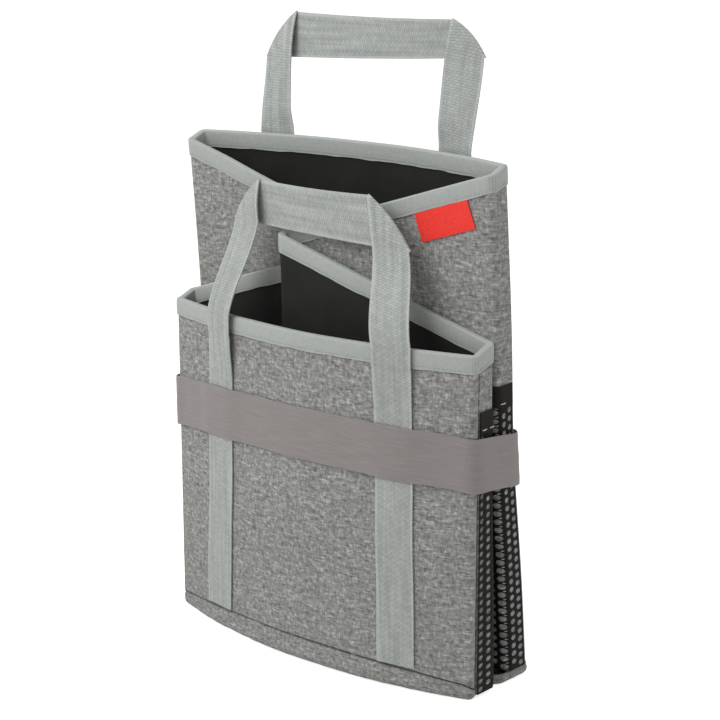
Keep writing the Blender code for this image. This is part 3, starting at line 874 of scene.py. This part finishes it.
def build_binding():
    profile = binding_profile()
    offset, rise = profile.T
    stations = np.arange(STATIONS, dtype=float)
    lengths = ALONG[:STATIONS + 1]
    turns = lengths[:-1, None] / lengths[-1] * 2 * pi
    lower_edge = rise < -BINDING_HEIGHT + LOWER_EDGE
    sideways = np.sign(offset) * (np.abs(offset) > FLAT_SIDES)
    z = rim_height(stations)[:, None] + rise + waves(turns, EDGE_WAVES) * lower_edge
    out = offset + waves(turns, PUFF_WAVES) * sideways
    rings = wall_points(np.repeat(stations[:, None], len(profile), axis=1), z, out)
    uv = grid(lengths, running(steps_round(profile)))
    piece = loft("rim_tape", rings, uv, GROSGRAIN, ["rim_binding"], closed=True)


# Stitches

# A stitch's sections: how far along it from its middle, and how thick
STITCH_SECTIONS = [(-0.5, 0.45), (-0.38, 0.9), (0.0, 1.0), (0.38, 0.9), (0.5, 0.45)]
STITCH_SIDES = 6
STITCH_GIRTH = 2.0
STITCH_DIP = 0.9
STITCH_CLEAR = 0.15
# How far on, in stations, a stitch points to
NUDGE = 0.05
# Pitch, length and thickness
BINDING_STITCH = (3.2, 2.4, 0.42)
TAPE_STITCH = (9.0, 6.3, 0.9)


def stitch_rings(middle, direction, outwards, length, thickness):
    """A stitch as a bent capsule that dips into the cloth at both ends."""
    across = unit(np.cross(outwards, direction))
    up = np.cross(direction, across)
    turns = np.arange(STITCH_SIDES)[:, None] * 2 * pi / STITCH_SIDES
    rim = np.cos(turns) * across + np.sin(turns) * up
    rings = []
    for share, size in STITCH_SECTIONS:
        dip = thickness * STITCH_DIP * (2 * share) ** 2
        rings.append(middle + direction * share * length - up * dip + thickness / 2 * size * rim)
    return np.array(rings)


def wall_stitches(name, start, end, height, offset, stitch, look):
    """A row of stitches along the wall line between two stations, at a height given by a
    function, joined as one piece."""
    pitch, length, thickness = stitch
    stations = stations_at(np.arange(along(start) + pitch / 2, along(end) - pitch / 2, pitch))
    z = height(stations)
    middles = wall_points(stations, z, offset)
    ahead = wall_points(stations + NUDGE, height(stations + NUDGE), offset)
    out = wall_points(stations, z, offset + 1.0)
    places = np.linspace(0.0, length, len(STITCH_SECTIONS))
    uv = grid(places, np.linspace(0.0, STITCH_GIRTH, STITCH_SIDES + 1))
    points, faces, uvs = [], [], []
    for middle, direction, outwards in zip(middles, unit(ahead - middles), unit(out - middles)):
        rings = stitch_rings(middle, direction, outwards, length, thickness)
        made, made_uvs = loft_faces(rings, uv, base=len(points))
        points += rings.reshape(-1, 3).tolist()
        faces += made
        uvs += made_uvs
    return new_piece(name, points, faces, uvs, look)


def build_binding_stitches():
    outside, inside = BINDING_OUTSIDE + STITCH_CLEAR, BINDING_INSIDE - STITCH_CLEAR
    for name, offset in (("outside", outside), ("inside", inside)):
        wall_stitches(
            "rim_stitches_" + name, 0.0, float(STATIONS),
            lambda s: rim_height(s) - BINDING_STITCH_DROP, offset, BINDING_STITCH, GREY_THREAD,
        )


# Base

BASE_FABRIC = 1.2
BASE_ROLL = 5.0
BASE_CHORD = 24
BASE_ROWS = 8
ROLL_STEPS = 5
BASE_ROW_LENGTH = 2.0
TRAY_EDGE = 6.0
BASE_BULGE = 2.2
BULGE_END = (HALF - 50.0, HALF - 8.0)
SEAM_GAP = 1.3
SEAM_TUCK = 2.2
# Shares of the height over which the seam tucks the cloth in and holds its puckers
TUCK_SPAN = (0.85, 1.0)
HELD_SPAN = (0.8, 1.0)
HELD = 0.6
SLACK = 1.5
LOOSE_CALM = 0.2
DRAWN_IN = 7.0
# Shares of the way from the front to the back, over which the drawing in starts and ends
DRAWN_START = (0.02, 0.16)
DRAWN_END = (0.42, 0.62)
# Height, length and seed
PUCKERS = [(0.4, 15.0, 11), (0.12, 6.5, 12)]
PUCKER_STRETCH = 2.2
PUCKER_FADE = 20.0


def ground_spots(stations):
    """Places of stations on the ground, and their outward arms."""
    spots = wall_points(stations, 0.0, 0.0)[:, :2]
    return spots, wall_points(stations, 0.0, 1.0)[:, :2] - spots


def base_outline():
    """Plan of the base, tight round both panels and straight across the open sides.

    Gives its points and their outward arms, the seam's height, how loose the cloth is
    across the open sides, and how far it is drawn in there beside the front corner.
    """
    front, back = panel_span("front"), panel_span("back")
    shares = np.linspace(0.0, 1.0, BASE_CHORD + 1)[1:-1]
    rows = []
    for panel, other, from_front in ((front, back, shares), (back, front, 1 - shares)):
        tight = np.zeros(len(panel))
        rows.append((*ground_spots(panel), seam_height(panel), tight, tight))
        ends = ground_spots([panel[-1], other[0]])
        crossing = (mix(first, last, shares[:, None]) for first, last in ends)
        drawn = smooth(from_front, *DRAWN_START) * (1 - smooth(from_front, *DRAWN_END))
        seam = np.full(len(shares), SIDE_SEAM)
        rows.append((*crossing, seam, np.sin(pi * shares), DRAWN_IN * drawn))
    return [np.concatenate(column) for column in zip(*rows)]


def base_levels(x, top):
    """Rows of the base fabric from its flat edge up to the seam: (offset, height, freedom)."""
    level = np.zeros(len(x))
    bulge = BASE_BULGE * (1 - smooth(np.abs(x), *BULGE_END))
    under = OUTER_FACE - BASE_ROLL
    levels = [(under - TRAY_EDGE, level, 0.0), (under, level, 0.0)]
    for share in np.arange(1, ROLL_STEPS + 1) / ROLL_STEPS:
        height = BASE_ROLL * (1 - cos(pi / 2 * share))
        roll = bulge * share - BASE_ROLL * (1 - sin(pi / 2 * share))
        levels.append((OUTER_FACE + roll, level + height, share))
    for share in np.arange(1, BASE_ROWS + 1) / BASE_ROWS:
        tuck = SEAM_TUCK * smooth(share, *TUCK_SPAN) - bulge * (1 - share)
        freedom = 1.0 - HELD * smooth(share, *HELD_SPAN)
        levels.append((OUTER_FACE - tuck, mix(BASE_ROLL, top, share), freedom))
    return levels


def build_base():
    """Base fabric: a shallow tray that rolls under from the seams and lies flat on the ground."""
    spots, arms, seams, loose, drawn = base_outline()
    steps = steps_round(spots)
    lengths = running(steps)
    u = lengths[:-1]
    fade = np.clip(np.minimum(u, lengths[-1] - u) / PUCKER_FADE, 0.0, 1.0)
    top = seams - SEAM_GAP

    def row(reach, height):
        return np.concatenate([spots + arms * reach[:, None], height[:, None]], axis=1)

    outer, inner = [], []
    for offset, height, freedom in base_levels(spots[:, 0], top):
        pucker = sum(
            size * ripples(u, height * PUCKER_STRETCH, length, seed)
            for size, length, seed in PUCKERS
        )
        held = freedom * fade
        middle = offset - drawn - held * SLACK * loose
        outer.append(row(middle + held * pucker * (1 - loose * LOOSE_CALM), height))
        lift = BASE_FABRIC / 2 if freedom else BASE_FABRIC
        inner_height = np.minimum(height + lift, top)
        inner.append(row(middle - BASE_FABRIC * (freedom > 0), inner_height))
    face_uv = grid(lengths, np.arange(len(outer)) * BASE_ROW_LENGTH)
    rings, uv = there_and_back(np.stack(outer, axis=1), np.stack(inner, axis=1), face_uv)
    count, size = rings.shape[:2]
    points = rings.reshape(-1, 3)

    # Whole faces close the tray's floor, below and above, in place of the strip at its edge
    faces, uvs = [], []
    made, made_uvs = loft_faces(rings, uv, closed=True)
    for k, face in enumerate(made):
        if {v % size for v in face} != {0, size - 1}:
            faces.append(face)
            uvs += made_uvs[4 * k:4 * k + 4]
    for ring, step in ((0, -1), (size - 1, 1)):
        floor = [n * size + ring for n in range(count)][::step]
        faces.append(floor)
        uvs += points[floor, :2].tolist()
    piece = new_piece("base_tray", points, faces, uvs, MELANGE, ["base_fabric"])


# Handles

HANDLES = {
    "front": {"rim": FRONT_HEIGHT, "top": 361.0, "y": -4.0, "outwards": -1.0, "loose_from": 203.0},
    "back": {"rim": BACK_HEIGHT, "top": 482.7, "y": 58.0, "outwards": 1.0, "loose_from": 340.0},
}
# Each leg by its strap's middle at the seam and at the rim, how far its outer and inner
# edges stand off the panel, and how far its grip reaches. Near the grip the edges turn
# back (+) or forward (-), and the folded corner's low and high ends lie a little out and up.
LEGS = {
    ("front", -1): {
        "seam": 89.2, "rim": 79.8, "stand_off": (1.0, 3.6), "reach": 50.0, "low_turn": (0.0, 0.0),
        "high_turn": (0.0, -5.2), "corner_low": (0.0, 0.0), "corner_high": (4.5, 1.8), "gape": 2.0,
    },
    ("front", 1): {
        "seam": 91.6, "rim": 88.4, "stand_off": (1.0, 3.2), "reach": 58.0, "low_turn": (0.0, 0.0),
        "high_turn": (1.5, -1.0), "corner_low": (4.0, -5.5), "corner_high": (-4.0, 1.5),
        "gape": 0.3,
    },
    ("back", -1): {
        "seam": 87.6, "rim": 88.6, "stand_off": (4.0, 0.5), "reach": 73.0, "low_turn": (-0.5, -5.0),
        "high_turn": (-1.5, -5.0), "corner_low": (0.0, -5.0), "corner_high": (0.0, 0.0),
        "gape": 1.0,
    },
    ("back", 1): {
        "seam": 87.6, "rim": 82.8, "stand_off": (4.5, 0.5), "reach": 73.0, "low_turn": (1.0, -4.0),
        "high_turn": (3.5, -0.7), "corner_low": (3.5, 5.0), "corner_high": (6.5, 1.0), "gape": 0.6,
    },
}
# Where a strap steps out over the binding, below and above the binding's lower edge
STEP_BELOW = 5.0
STEP_ABOVE = 1.0
STEP_SECTIONS = 10
PAST_RIM = 1.0
LOOSE_REACH = 37.0
TURN_REACH = 0.35
FOLD_GAP = 0.4
CORNER_BULGE = 3.0
BULGE_RISE = (0.2, 0.9)
FOLD_STEP = 0.01
GRIP_SAG = 1.2
GRIP_BULGE_SECTIONS = 3
LEG_SECTIONS = 18
CORNER_SECTIONS = 5
FOLD_SECTIONS = 8
STRIP_SECTIONS = 28
WEBBING_COLUMNS = 12
EDGE_THINNING = 0.25


def strap_on_wall(panel, side):
    """Edge points of a strap up a panel's face, to just above its rim: outer edge, inner edge."""
    handle, leg = HANDLES[panel], LEGS[panel, side]
    rim = handle["rim"]
    seam = panel_station(panel, side * (leg["seam"] - WEBBING / 2))
    start = float(seam_height(seam)) + 2 * CLEAR
    over = rim - BINDING_HEIGHT
    below = np.arange(start, over - STEP_BELOW - 1.0, ROW_STEP)
    above = np.linspace(over - STEP_BELOW + 1.0, rim + PAST_RIM, STEP_SECTIONS)
    z = np.concatenate([below, above])
    middle_out = WEBBING_CLEAR + WEBBING_THICKNESS / 2
    stepped = smooth(z, over - STEP_BELOW, over + STEP_ABOVE)
    offset = mix(OUTER_FACE + middle_out, BINDING_OUTSIDE + middle_out, stepped)
    loose = smooth(z, handle["loose_from"], handle["loose_from"] + LOOSE_REACH)
    middle = mix(leg["seam"], leg["rim"], (z - start) / (rim - start))
    edges = []
    for across, away in zip((WEBBING / 2, -WEBBING / 2), leg["stand_off"]):
        stations = panel_station(panel, side * (middle + across))
        edges.append(wall_points(stations, z, offset + away * loose))
    return edges


def strap_facing(outer, inner, outwards):
    """Outward directions of a strap, from its two edges."""
    along_strap = np.gradient((outer + inner) / 2, axis=0)
    facing = unit(np.cross(along_strap, inner - outer))
    return facing * np.sign(facing[:, 1:2] * outwards)


def handle_half(panel, side):
    """Sections of half a handle: outer edges, inner edges, outward directions and bulges."""
    handle, leg = HANDLES[panel], LEGS[panel, side]
    outwards, top, y, reach = handle["outwards"], handle["top"], handle["y"], leg["reach"]
    fold = (WEBBING_THICKNESS + FOLD_GAP) / 2
    away = unit(np.array([side, 0.0, 1.0]))
    inset = away * (fold + WEBBING_THICKNESS / 2)
    low_out, low_up = leg["corner_low"]
    high_out, high_up = leg["corner_high"]
    low_turn, high_turn = np.array(leg["low_turn"]), np.array(leg["high_turn"])
    low_x, high_x = side * (reach + WEBBING + low_out), side * (reach + high_out)
    corner_low = np.array([low_x, y + high_turn[0], top - WEBBING + low_up]) - inset
    corner_high = np.array([high_x, y, top + high_up]) - inset
    leg_top = np.array([corner_low, (side * reach, y + high_turn[1], top - WEBBING)])
    leg_top[:, 1] -= fold

    # Up the panel, and on to the corner
    outer, inner = strap_on_wall(panel, side)
    edges = [[*outer], [*inner]]
    for share in np.linspace(0.0, 1.0, LEG_SECTIONS + 1)[1:]:
        turned = mix(low_turn, 0.0, share) * smooth(share, 0.0, TURN_REACH)
        for edge, base, end, turn in zip(edges, (outer[-1], inner[-1]), leg_top, turned):
            spot = mix(base, end, share)
            spot[1] = mix(base[1], end[1], smooth(share, 0.0, 1.0)) + turn
            edge.append(spot)

    # Round the corner's low point to the fold
    high_front = corner_high - (0.0, fold, 0.0)
    for share in np.linspace(0.0, 1.0, CORNER_SECTIONS + 1)[1:-1]:
        gape = leg["gape"] * sin(pi * share)
        edges[0].append(edges[0][-1] + (0.0, 0.0, FOLD_STEP))
        edges[1].append(mix(leg_top[1], high_front, share) - (0.0, gape, 0.0))
    outer, inner = np.array(edges[0]), np.array(edges[1])
    bulge = np.zeros(len(outer))
    bulge[-CORNER_SECTIONS + 1:] = np.linspace(*BULGE_RISE, CORNER_SECTIONS - 1)

    # Over the fold, which turns the webbing's back to the front
    angles = np.linspace(0.0, pi, FOLD_SECTIONS + 1)[:, None]
    swings = away * np.sin(angles) - np.array([0.0, 1.0, 0.0]) * np.cos(angles)
    facing = np.concatenate([strap_facing(outer, inner, outwards), swings * -outwards])
    outer = np.concatenate([outer, corner_low + swings * fold])
    inner = np.concatenate([inner, corner_high + swings * fold])
    bulge = np.concatenate([bulge, np.ones(len(swings))])
    return outer, inner, facing, bulge[:, None] * away * CORNER_BULGE


def build_handle(panel):
    left, right = handle_half(panel, -1), handle_half(panel, 1)
    shares = np.linspace(0.0, 1.0, STRIP_SECTIONS + 1)[1:-1, None]
    strips = [mix(left[k][-1], right[k][-1], shares) for k in range(3)]
    fading = np.clip(1 - shares * STRIP_SECTIONS / GRIP_BULGE_SECTIONS, 0.0, 1.0)
    strips.append(left[3][-1] * fading + right[3][-1] * fading[::-1])
    for strip in strips[:2]:
        strip[:, 2] -= GRIP_SAG * np.sin(pi * shares[:, 0])
    outer, inner, facing, bulge = (
        np.concatenate([left[k], strips[k], right[k][::-1]])[:, None] for k in range(4)
    )
    across = np.linspace(0.0, 1.0, WEBBING_COLUMNS + 1)
    thinned = 1 - EDGE_THINNING * np.abs(2 * across - 1) ** 6
    half = unit(facing) * (WEBBING_THICKNESS / 2 * thinned)[:, None]
    centre = mix(outer, inner, across[:, None]) + bulge * np.sin(pi * across)[:, None]
    lengths = [
        running(np.linalg.norm(np.diff(edge[:, 0], axis=0), axis=1)) for edge in (outer, inner)
    ]
    v = mix(lengths[0][:, None], lengths[1][:, None], across)
    u = np.broadcast_to(across * WEBBING, v.shape)
    rings, uv = there_and_back(centre + half, centre - half, np.stack([u, v], axis=-1))
    piece = loft(panel + "_webbing", rings, uv, WEBBING_CLOTH, [panel + "_handle"])


# Elastic band

BAND_HEIGHT = 40.0
BAND_THICKNESS = 1.1
BAND_TILT = 5.4
BAND_ROWS = 14
BAND_CHORD = 14
BAND_STEPS = 360
BAND_LEAN = 25.0
BAND_SOFTENING = 6
BAND_CLEAR = 0.5
BAND_CORNER_OUT = 1.4
STRAP_CENTRE = 87.6
STRAP_LEAN = 3.0
STRAP_SLOPE = (-2.0, 12.0)
# How far the band rides up over the front panel, by x, and down beyond it, by y
BAND_ARCH = np.polyfit(
    [-150.0, -120.0, -90.0, -30.0, 20.0, 60.0, 93.0, 125.0, 150.0],
    [0.4, 3.2, 5.2, 5.0, 4.4, 4.1, 2.7, 0.8, -0.5], 4,
)
BAND_ARCH_END = 30.0
BAND_DROP = 5.0
BAND_DROP_END = 45.0
BAND_EDGE_WAVES = [(0.2, 13, 0.0), (0.12, 29, 1.3)]
BAND_RIDGE = 0.14
BAND_RIDGE_LENGTH = 9.0
BAND_RIDGE_STRETCH = 0.3
BAND_CURL = 0.3
BAND_EDGE_THINNING = 0.35


def evenly(line, steps):
    """A closed line again, in even steps."""
    lengths = running(steps_round(line))
    places = np.linspace(0.0, lengths[-1], steps, endpoint=False)
    closed = np.concatenate([line, line[:1]])
    return np.stack([np.interp(places, lengths, closed[:, k]) for k in range(2)], axis=1)


def band_line(height):
    """Plan points of the band's inner face at a height, tight over the straps and corners."""
    strap = STRAP_CENTRE - STRAP_LEAN * BAND_MIDDLE / FRONT_HEIGHT
    over_strap = OUTER_FACE + WEBBING_CLEAR + WEBBING_THICKNESS + CLEAR
    over_panel = OUTER_FACE + BAND_CLEAR
    lines = []
    for panel in PANELS:
        span = panel_span(panel)
        x = np.abs(FLOOR_LINE[span, 0])
        on_strap = 1 - smooth(np.abs(x - strap) - WEBBING / 2, *STRAP_SLOPE)
        on_corner = smooth(x, HALF - 12.0, HALF - 2.0)
        on_tape = smooth(x, HALF - 3.0, HALF)
        over_corner = mix(over_panel, TAPE_FACE + CLEAR, on_tape) + BAND_CORNER_OUT * on_corner
        offset = np.maximum(mix(over_panel, over_strap, on_strap), over_corner)
        lines.append(wall_points(span, height, offset)[:, :2])
    front, back = lines
    shares = np.linspace(0.0, 1.0, BAND_CHORD + 1)[1:-1, None]
    right, left = mix(front[-1], back[0], shares), mix(back[-1], front[0], shares)
    line = evenly(np.concatenate([front, right, back, left]), BAND_STEPS)
    for _ in range(BAND_SOFTENING):
        line = (np.roll(line, 1, axis=0) + 2 * line + np.roll(line, -1, axis=0)) / 4
    return line


def build_band():
    low_line, high_line = band_line(BAND_MIDDLE - BAND_LEAN), band_line(BAND_MIDDLE + BAND_LEAN)
    line = (low_line + high_line) / 2
    x, y = line.T
    ahead = np.roll(line, -1, axis=0) - np.roll(line, 1, axis=0)
    normal = unit(np.stack([ahead[:, 1], -ahead[:, 0]], axis=1))
    lengths = running(steps_round(line))
    turns = lengths[:-1] / lengths[-1] * 2 * pi
    arch = np.polyval(BAND_ARCH, x) * (1 - smooth(y, 0.0, BAND_ARCH_END))
    drop = BAND_DROP * smooth(y, 0.0, BAND_DROP_END)
    middle = BAND_MIDDLE + BAND_TILT / 2 * x / HALF + arch - drop
    shares = np.linspace(-1.0, 1.0, BAND_ROWS + 1)
    from_middle = np.abs(shares)
    edge_wave = waves(turns, BAND_EDGE_WAVES)[:, None] * from_middle ** 3
    z = middle[:, None] + shares * BAND_HEIGHT / 2 + edge_wave
    places = lengths[:-1, None] * BAND_RIDGE_STRETCH
    ridge = BAND_RIDGE * ripples(places, z, BAND_RIDGE_LENGTH, seed=21)
    curl = BAND_CURL * from_middle ** 5
    thickness = BAND_THICKNESS * (1 - BAND_EDGE_THINNING * from_middle ** 8)
    lean = ((z - BAND_MIDDLE) / BAND_LEAN + 1)[..., None] / 2
    leaning = mix(low_line[:, None], high_line[:, None], lean)

    def face(out):
        spots = leaning + normal[:, None] * out[..., None]
        return np.concatenate([spots, z[..., None]], axis=-1)

    outer, inner = face(ridge + curl + thickness), face(np.maximum(ridge, 0.0) + curl)
    rings, uv = there_and_back(outer, inner, grid(lengths, shares * BAND_HEIGHT / 2))
    piece = loft("band_elastic", rings, uv, ELASTIC, ["elastic_band"], closed=True)


# Mesh pockets

NET_COLUMN = 6.6
NET_ROW = 6.0
NET_HOLE_WIDE = 5.1
NET_HOLE_HIGH = 4.4
NET_DROP = 6.0
NET_DROP_WIDTH = 22.0
TAPE_ROW = 2.5
TAPE_STITCH_DROP = 5.2
TAPE_STITCH_CLEAR = 0.25
PAST_SEAM = 0.03
# A net cell's border, in half columns and half rows from its middle
CELL = [(-1, -1), (0, -1), (1, -1), (1, 0), (1, 1), (0, 1), (-1, 1), (-1, 0)]
# The half cell that fills every second column at both ends
HALF_CELL = [(0, 0), (1, 0), (2, 0), (2, 1), (1, 1), (0, 1)]


def pocket_run(side):
    if side == "right":
        return RIGHT_SEAM + PAST_SEAM, float(ARCS["back_right"][0])
    return float(ARCS["back_left"][1]), float(ARCS["front_left"][0] + STATIONS)


def net_lattice(columns, rows):
    """A net laid flat: its points, in half columns and half rows, and its faces.
    Each cell has a round hole, and every second column is half a cell higher."""
    known = {}

    def vertex(column, row):
        return known.setdefault((column, row), len(known))

    half_wide, half_high = NET_HOLE_WIDE / NET_COLUMN, NET_HOLE_HIGH / NET_ROW
    angles = [atan2(j, i) for i, j in CELL]
    faces = []
    for c in range(columns):
        shift = c % 2
        for r in range(rows - shift):
            x, y = 2 * c + 1, 2 * r + 1 + shift
            border = [vertex(x + i, y + j) for i, j in CELL]
            hole = [vertex(x + half_wide * cos(a), y + half_high * sin(a)) for a in angles]
            for k in range(len(CELL)):
                following = (k + 1) % len(CELL)
                faces.append((border[k], border[following], hole[following], hole[k]))
        for row in (0, 2 * rows - 1) if shift else ():
            faces.append(tuple(vertex(2 * c + i, row + j) for i, j in HALF_CELL))
    return np.array(list(known), float), faces


def build_net(side):
    """Knitted net with staggered round holes, from the seam to the tape."""
    start, end = pocket_run(side)
    first, last = along(start), along(end)
    columns = int(round((last - first) / NET_COLUMN))
    high = TAPE_FRONT - TAPE_HEIGHT / 2 - CLEAR
    rows = int(round((high - SIDE_SEAM) / NET_ROW))
    lattice, cells = net_lattice(columns, rows)
    places = first + lattice[:, 0] / (2 * columns) * (last - first)
    stations = stations_at(places)
    tops = tape_middle(stations, side) - TAPE_HEIGHT / 2 - CLEAR
    low = SIDE_SEAM - NET_DROP * beside_front_corner(stations, side, NET_DROP_WIDTH)
    z = mix(low, tops, lattice[:, 1] / (2 * rows))
    points = np.concatenate([wall_points(stations, z, offset) for offset in (NET_FACE, NET_BACK)])
    uv = np.stack([places, z], axis=1)
    count = len(lattice)
    faces, uvs = [], []
    for cell in cells:
        for corners, behind in ((cell, 0), (cell[::-1], count)):
            faces.append([v + behind for v in corners])
            uvs += uv[list(corners)].tolist()
    edges = dict.fromkeys(pair for cell in cells for pair in zip(cell, cell[1:] + cell[:1]))
    for a, b in edges:
        if (b, a) not in edges:
            faces.append([b, a, a + count, b + count])
            uvs += uv[[b, a, a, b]].tolist()
    piece = new_piece(side + "_net", points, faces, uvs, NET, [side + "_mesh"])


def build_tape(side):
    start, end = pocket_run(side)
    stations = run_of(start, end)
    middle = tape_middle(stations, side)
    low, high = middle - TAPE_HEIGHT / 2, middle + TAPE_HEIGHT / 2
    piece = wall_sheet(
        side + "_pocket_tape", stations, low, high, NET_BACK, TAPE_FACE, BLACK_TAPE,
        [side + "_mesh_tape"], TAPE_ROW,
    )
    wall_stitches(
        side + "_tape_stitches", start, end, lambda s: tape_middle(s, side) - TAPE_STITCH_DROP,
        TAPE_FACE + TAPE_STITCH_CLEAR, TAPE_STITCH, WHITE_THREAD,
    )


# Label

LABEL_WIDTH = 48.0
LABEL_HEIGHT = 21.0
LABEL_THICKNESS = 0.8
LABEL_CLEAR = 0.6
LABEL_FROM_CORNER = 14.0
LABEL_COLUMNS = 24
LABEL_ROWS = 10
LABEL_EDGE = 1.5
LABEL_EDGE_DROP = 0.25
LABEL_UNEVEN = 0.12
LABEL_UNEVEN_LENGTH = 18.0


def build_label():
    """A bare woven tag sewn under the binding, square to the rim, on the right side's far half."""
    slope = atan2(BACK_HEIGHT - FRONT_HEIGHT, SIDE_DEPTH)
    corner = along(ARCS["right_far_bend"][0]) - LABEL_FROM_CORNER - LABEL_WIDTH
    top = float(rim_height(stations_at(corner))) - BINDING_HEIGHT - CLEAR
    columns = np.linspace(0.0, LABEL_WIDTH, LABEL_COLUMNS + 1)
    face_uv = grid(columns, np.linspace(LABEL_HEIGHT, 0.0, LABEL_ROWS + 1))
    across, down = face_uv[..., 0], face_uv[..., 1]
    stations = stations_at(corner + across * cos(slope) + down * sin(slope))
    z = top + across * sin(slope) - down * cos(slope)
    from_edge = np.minimum(face_uv, (LABEL_WIDTH, LABEL_HEIGHT) - face_uv).min(axis=-1)
    lowered = LABEL_EDGE_DROP * (1 - smooth(from_edge, 0.0, LABEL_EDGE))
    lowered = lowered + LABEL_UNEVEN * ripples(across, down, LABEL_UNEVEN_LENGTH, seed=31)
    back = OUTER_FACE + LABEL_CLEAR
    outer = wall_points(stations, z, back + LABEL_THICKNESS - lowered)
    rings, uv = there_and_back(outer, wall_points(stations, z, back), face_uv)
    piece = loft("bare_tag", rings, uv, SATIN, ["label"])


build_walls()
build_boards()
build_base_boards()
build_binding()
build_binding_stitches()
build_base()
build_handle("front")
build_handle("back")
build_band()
for side in ("right", "left"):
    build_net(side)
    build_tape(side)
build_label()


# Floor, light and camera

FLOOR_REACH = 12.0
FLOOR_GLOW = 0.75
WORLD_LEVEL = 0.5
# Places and distances in metres
LIT_SPOT = Vector((0.0, 0.02, 0.22))
CAMERA_AZIMUTH = 41.2
CAMERA_ELEVATION = 14.0
CAMERA_DISTANCE = 1.3902
CAMERA_TARGET = Vector((0.0422, 0.0, 0.2381))
CAMERA_LENS = 95.0
CAMERA_SENSOR = 36.0
CAMERA_REACH = 50.0


def direction(azimuth, elevation):
    """From the object towards a viewer or lamp: azimuth 0 is in front, 90 on the right."""
    turn, lift = radians(azimuth), radians(elevation)
    return Vector((sin(turn) * cos(lift), -cos(turn) * cos(lift), sin(lift)))


def place_facing(name, data, target, azimuth, elevation, distance):
    """A lamp or camera, seen from its target in a direction and turned to face it."""
    thing = bpy.data.objects.new(name, data)
    thing.location = target + direction(azimuth, elevation) * distance
    thing.rotation_euler = (target - thing.location).to_track_quat("-Z", "Y").to_euler()
    bpy.context.scene.collection.objects.link(thing)
    return thing


def seen_directly(tree):
    """1 for rays from the camera, a mirror or glass, and 0 for the light that cloth gathers."""
    rays = add(tree, "LightPath")
    seen = rays.outputs["Is Camera Ray"]
    for other in ("Is Glossy Ray", "Is Transmission Ray"):
        seen = add(tree, "Math", {0: seen, 1: rays.outputs[other]}, operation="MAXIMUM").outputs[0]
    return seen


def build_floor():
    """Seamless white paper: the camera sees it white but for the object's faint shadow."""
    mesh = bpy.data.meshes.new("floor")
    corners = [(-1, -1, 0), (1, -1, 0), (1, 1, 0), (-1, 1, 0)]
    mesh.from_pydata([Vector(corner) * FLOOR_REACH for corner in corners], [], [(0, 1, 2, 3)])
    floor = bpy.data.objects.new("floor", mesh)
    bpy.context.scene.collection.objects.link(floor)
    material = bpy.data.materials.new("seamless white paper")
    material.use_nodes = True
    tree = material.node_tree
    shader = tree.nodes["Principled BSDF"]
    shader.inputs["Roughness"].default_value = 0.9
    shader.inputs["Specular IOR Level"].default_value = 0.2
    shader.inputs["Base Color"].default_value = linear("#dcdcdc")
    shader.inputs["Emission Color"].default_value = linear("#ffffff")
    inputs = {0: seen_directly(tree), 1: FLOOR_GLOW}
    add(tree, "Math", inputs, operation="MULTIPLY", into=shader.inputs["Emission Strength"])
    mesh.materials.append(material)


def build_light(name, azimuth, elevation, distance, size, power):
    lamp = bpy.data.lights.new(name, "AREA")
    lamp.shape = "DISK"
    lamp.size = size
    lamp.energy = power
    place_facing(name, lamp, LIT_SPOT, azimuth, elevation, distance)


def build_world():
    world = bpy.data.worlds.new("studio")
    world.use_nodes = True
    tree = world.node_tree
    background = tree.nodes["Background"]
    background.inputs["Color"].default_value = linear("#ffffff")
    inputs = {"Factor": seen_directly(tree), 2: WORLD_LEVEL, 3: 1.0}
    add(tree, "Mix", inputs, data_type="FLOAT", into=background.inputs["Strength"])
    bpy.context.scene.world = world


def build_camera():
    camera = bpy.data.cameras.new("camera")
    camera.lens = CAMERA_LENS
    camera.sensor_width = CAMERA_SENSOR
    camera.clip_end = CAMERA_REACH
    bpy.context.scene.camera = place_facing(
        "camera", camera, CAMERA_TARGET, CAMERA_AZIMUTH, CAMERA_ELEVATION, CAMERA_DISTANCE
    )


build_floor()
build_light("key", -25.0, 46.0, 1.6, 1.3, 18.0)
build_light("fill", 114.0, 28.0, 2.0, 1.4, 8.0)
build_world()
build_camera()
bpy.context.scene.view_settings.view_transform = "Standard"

bpy.context.view_layer.update()
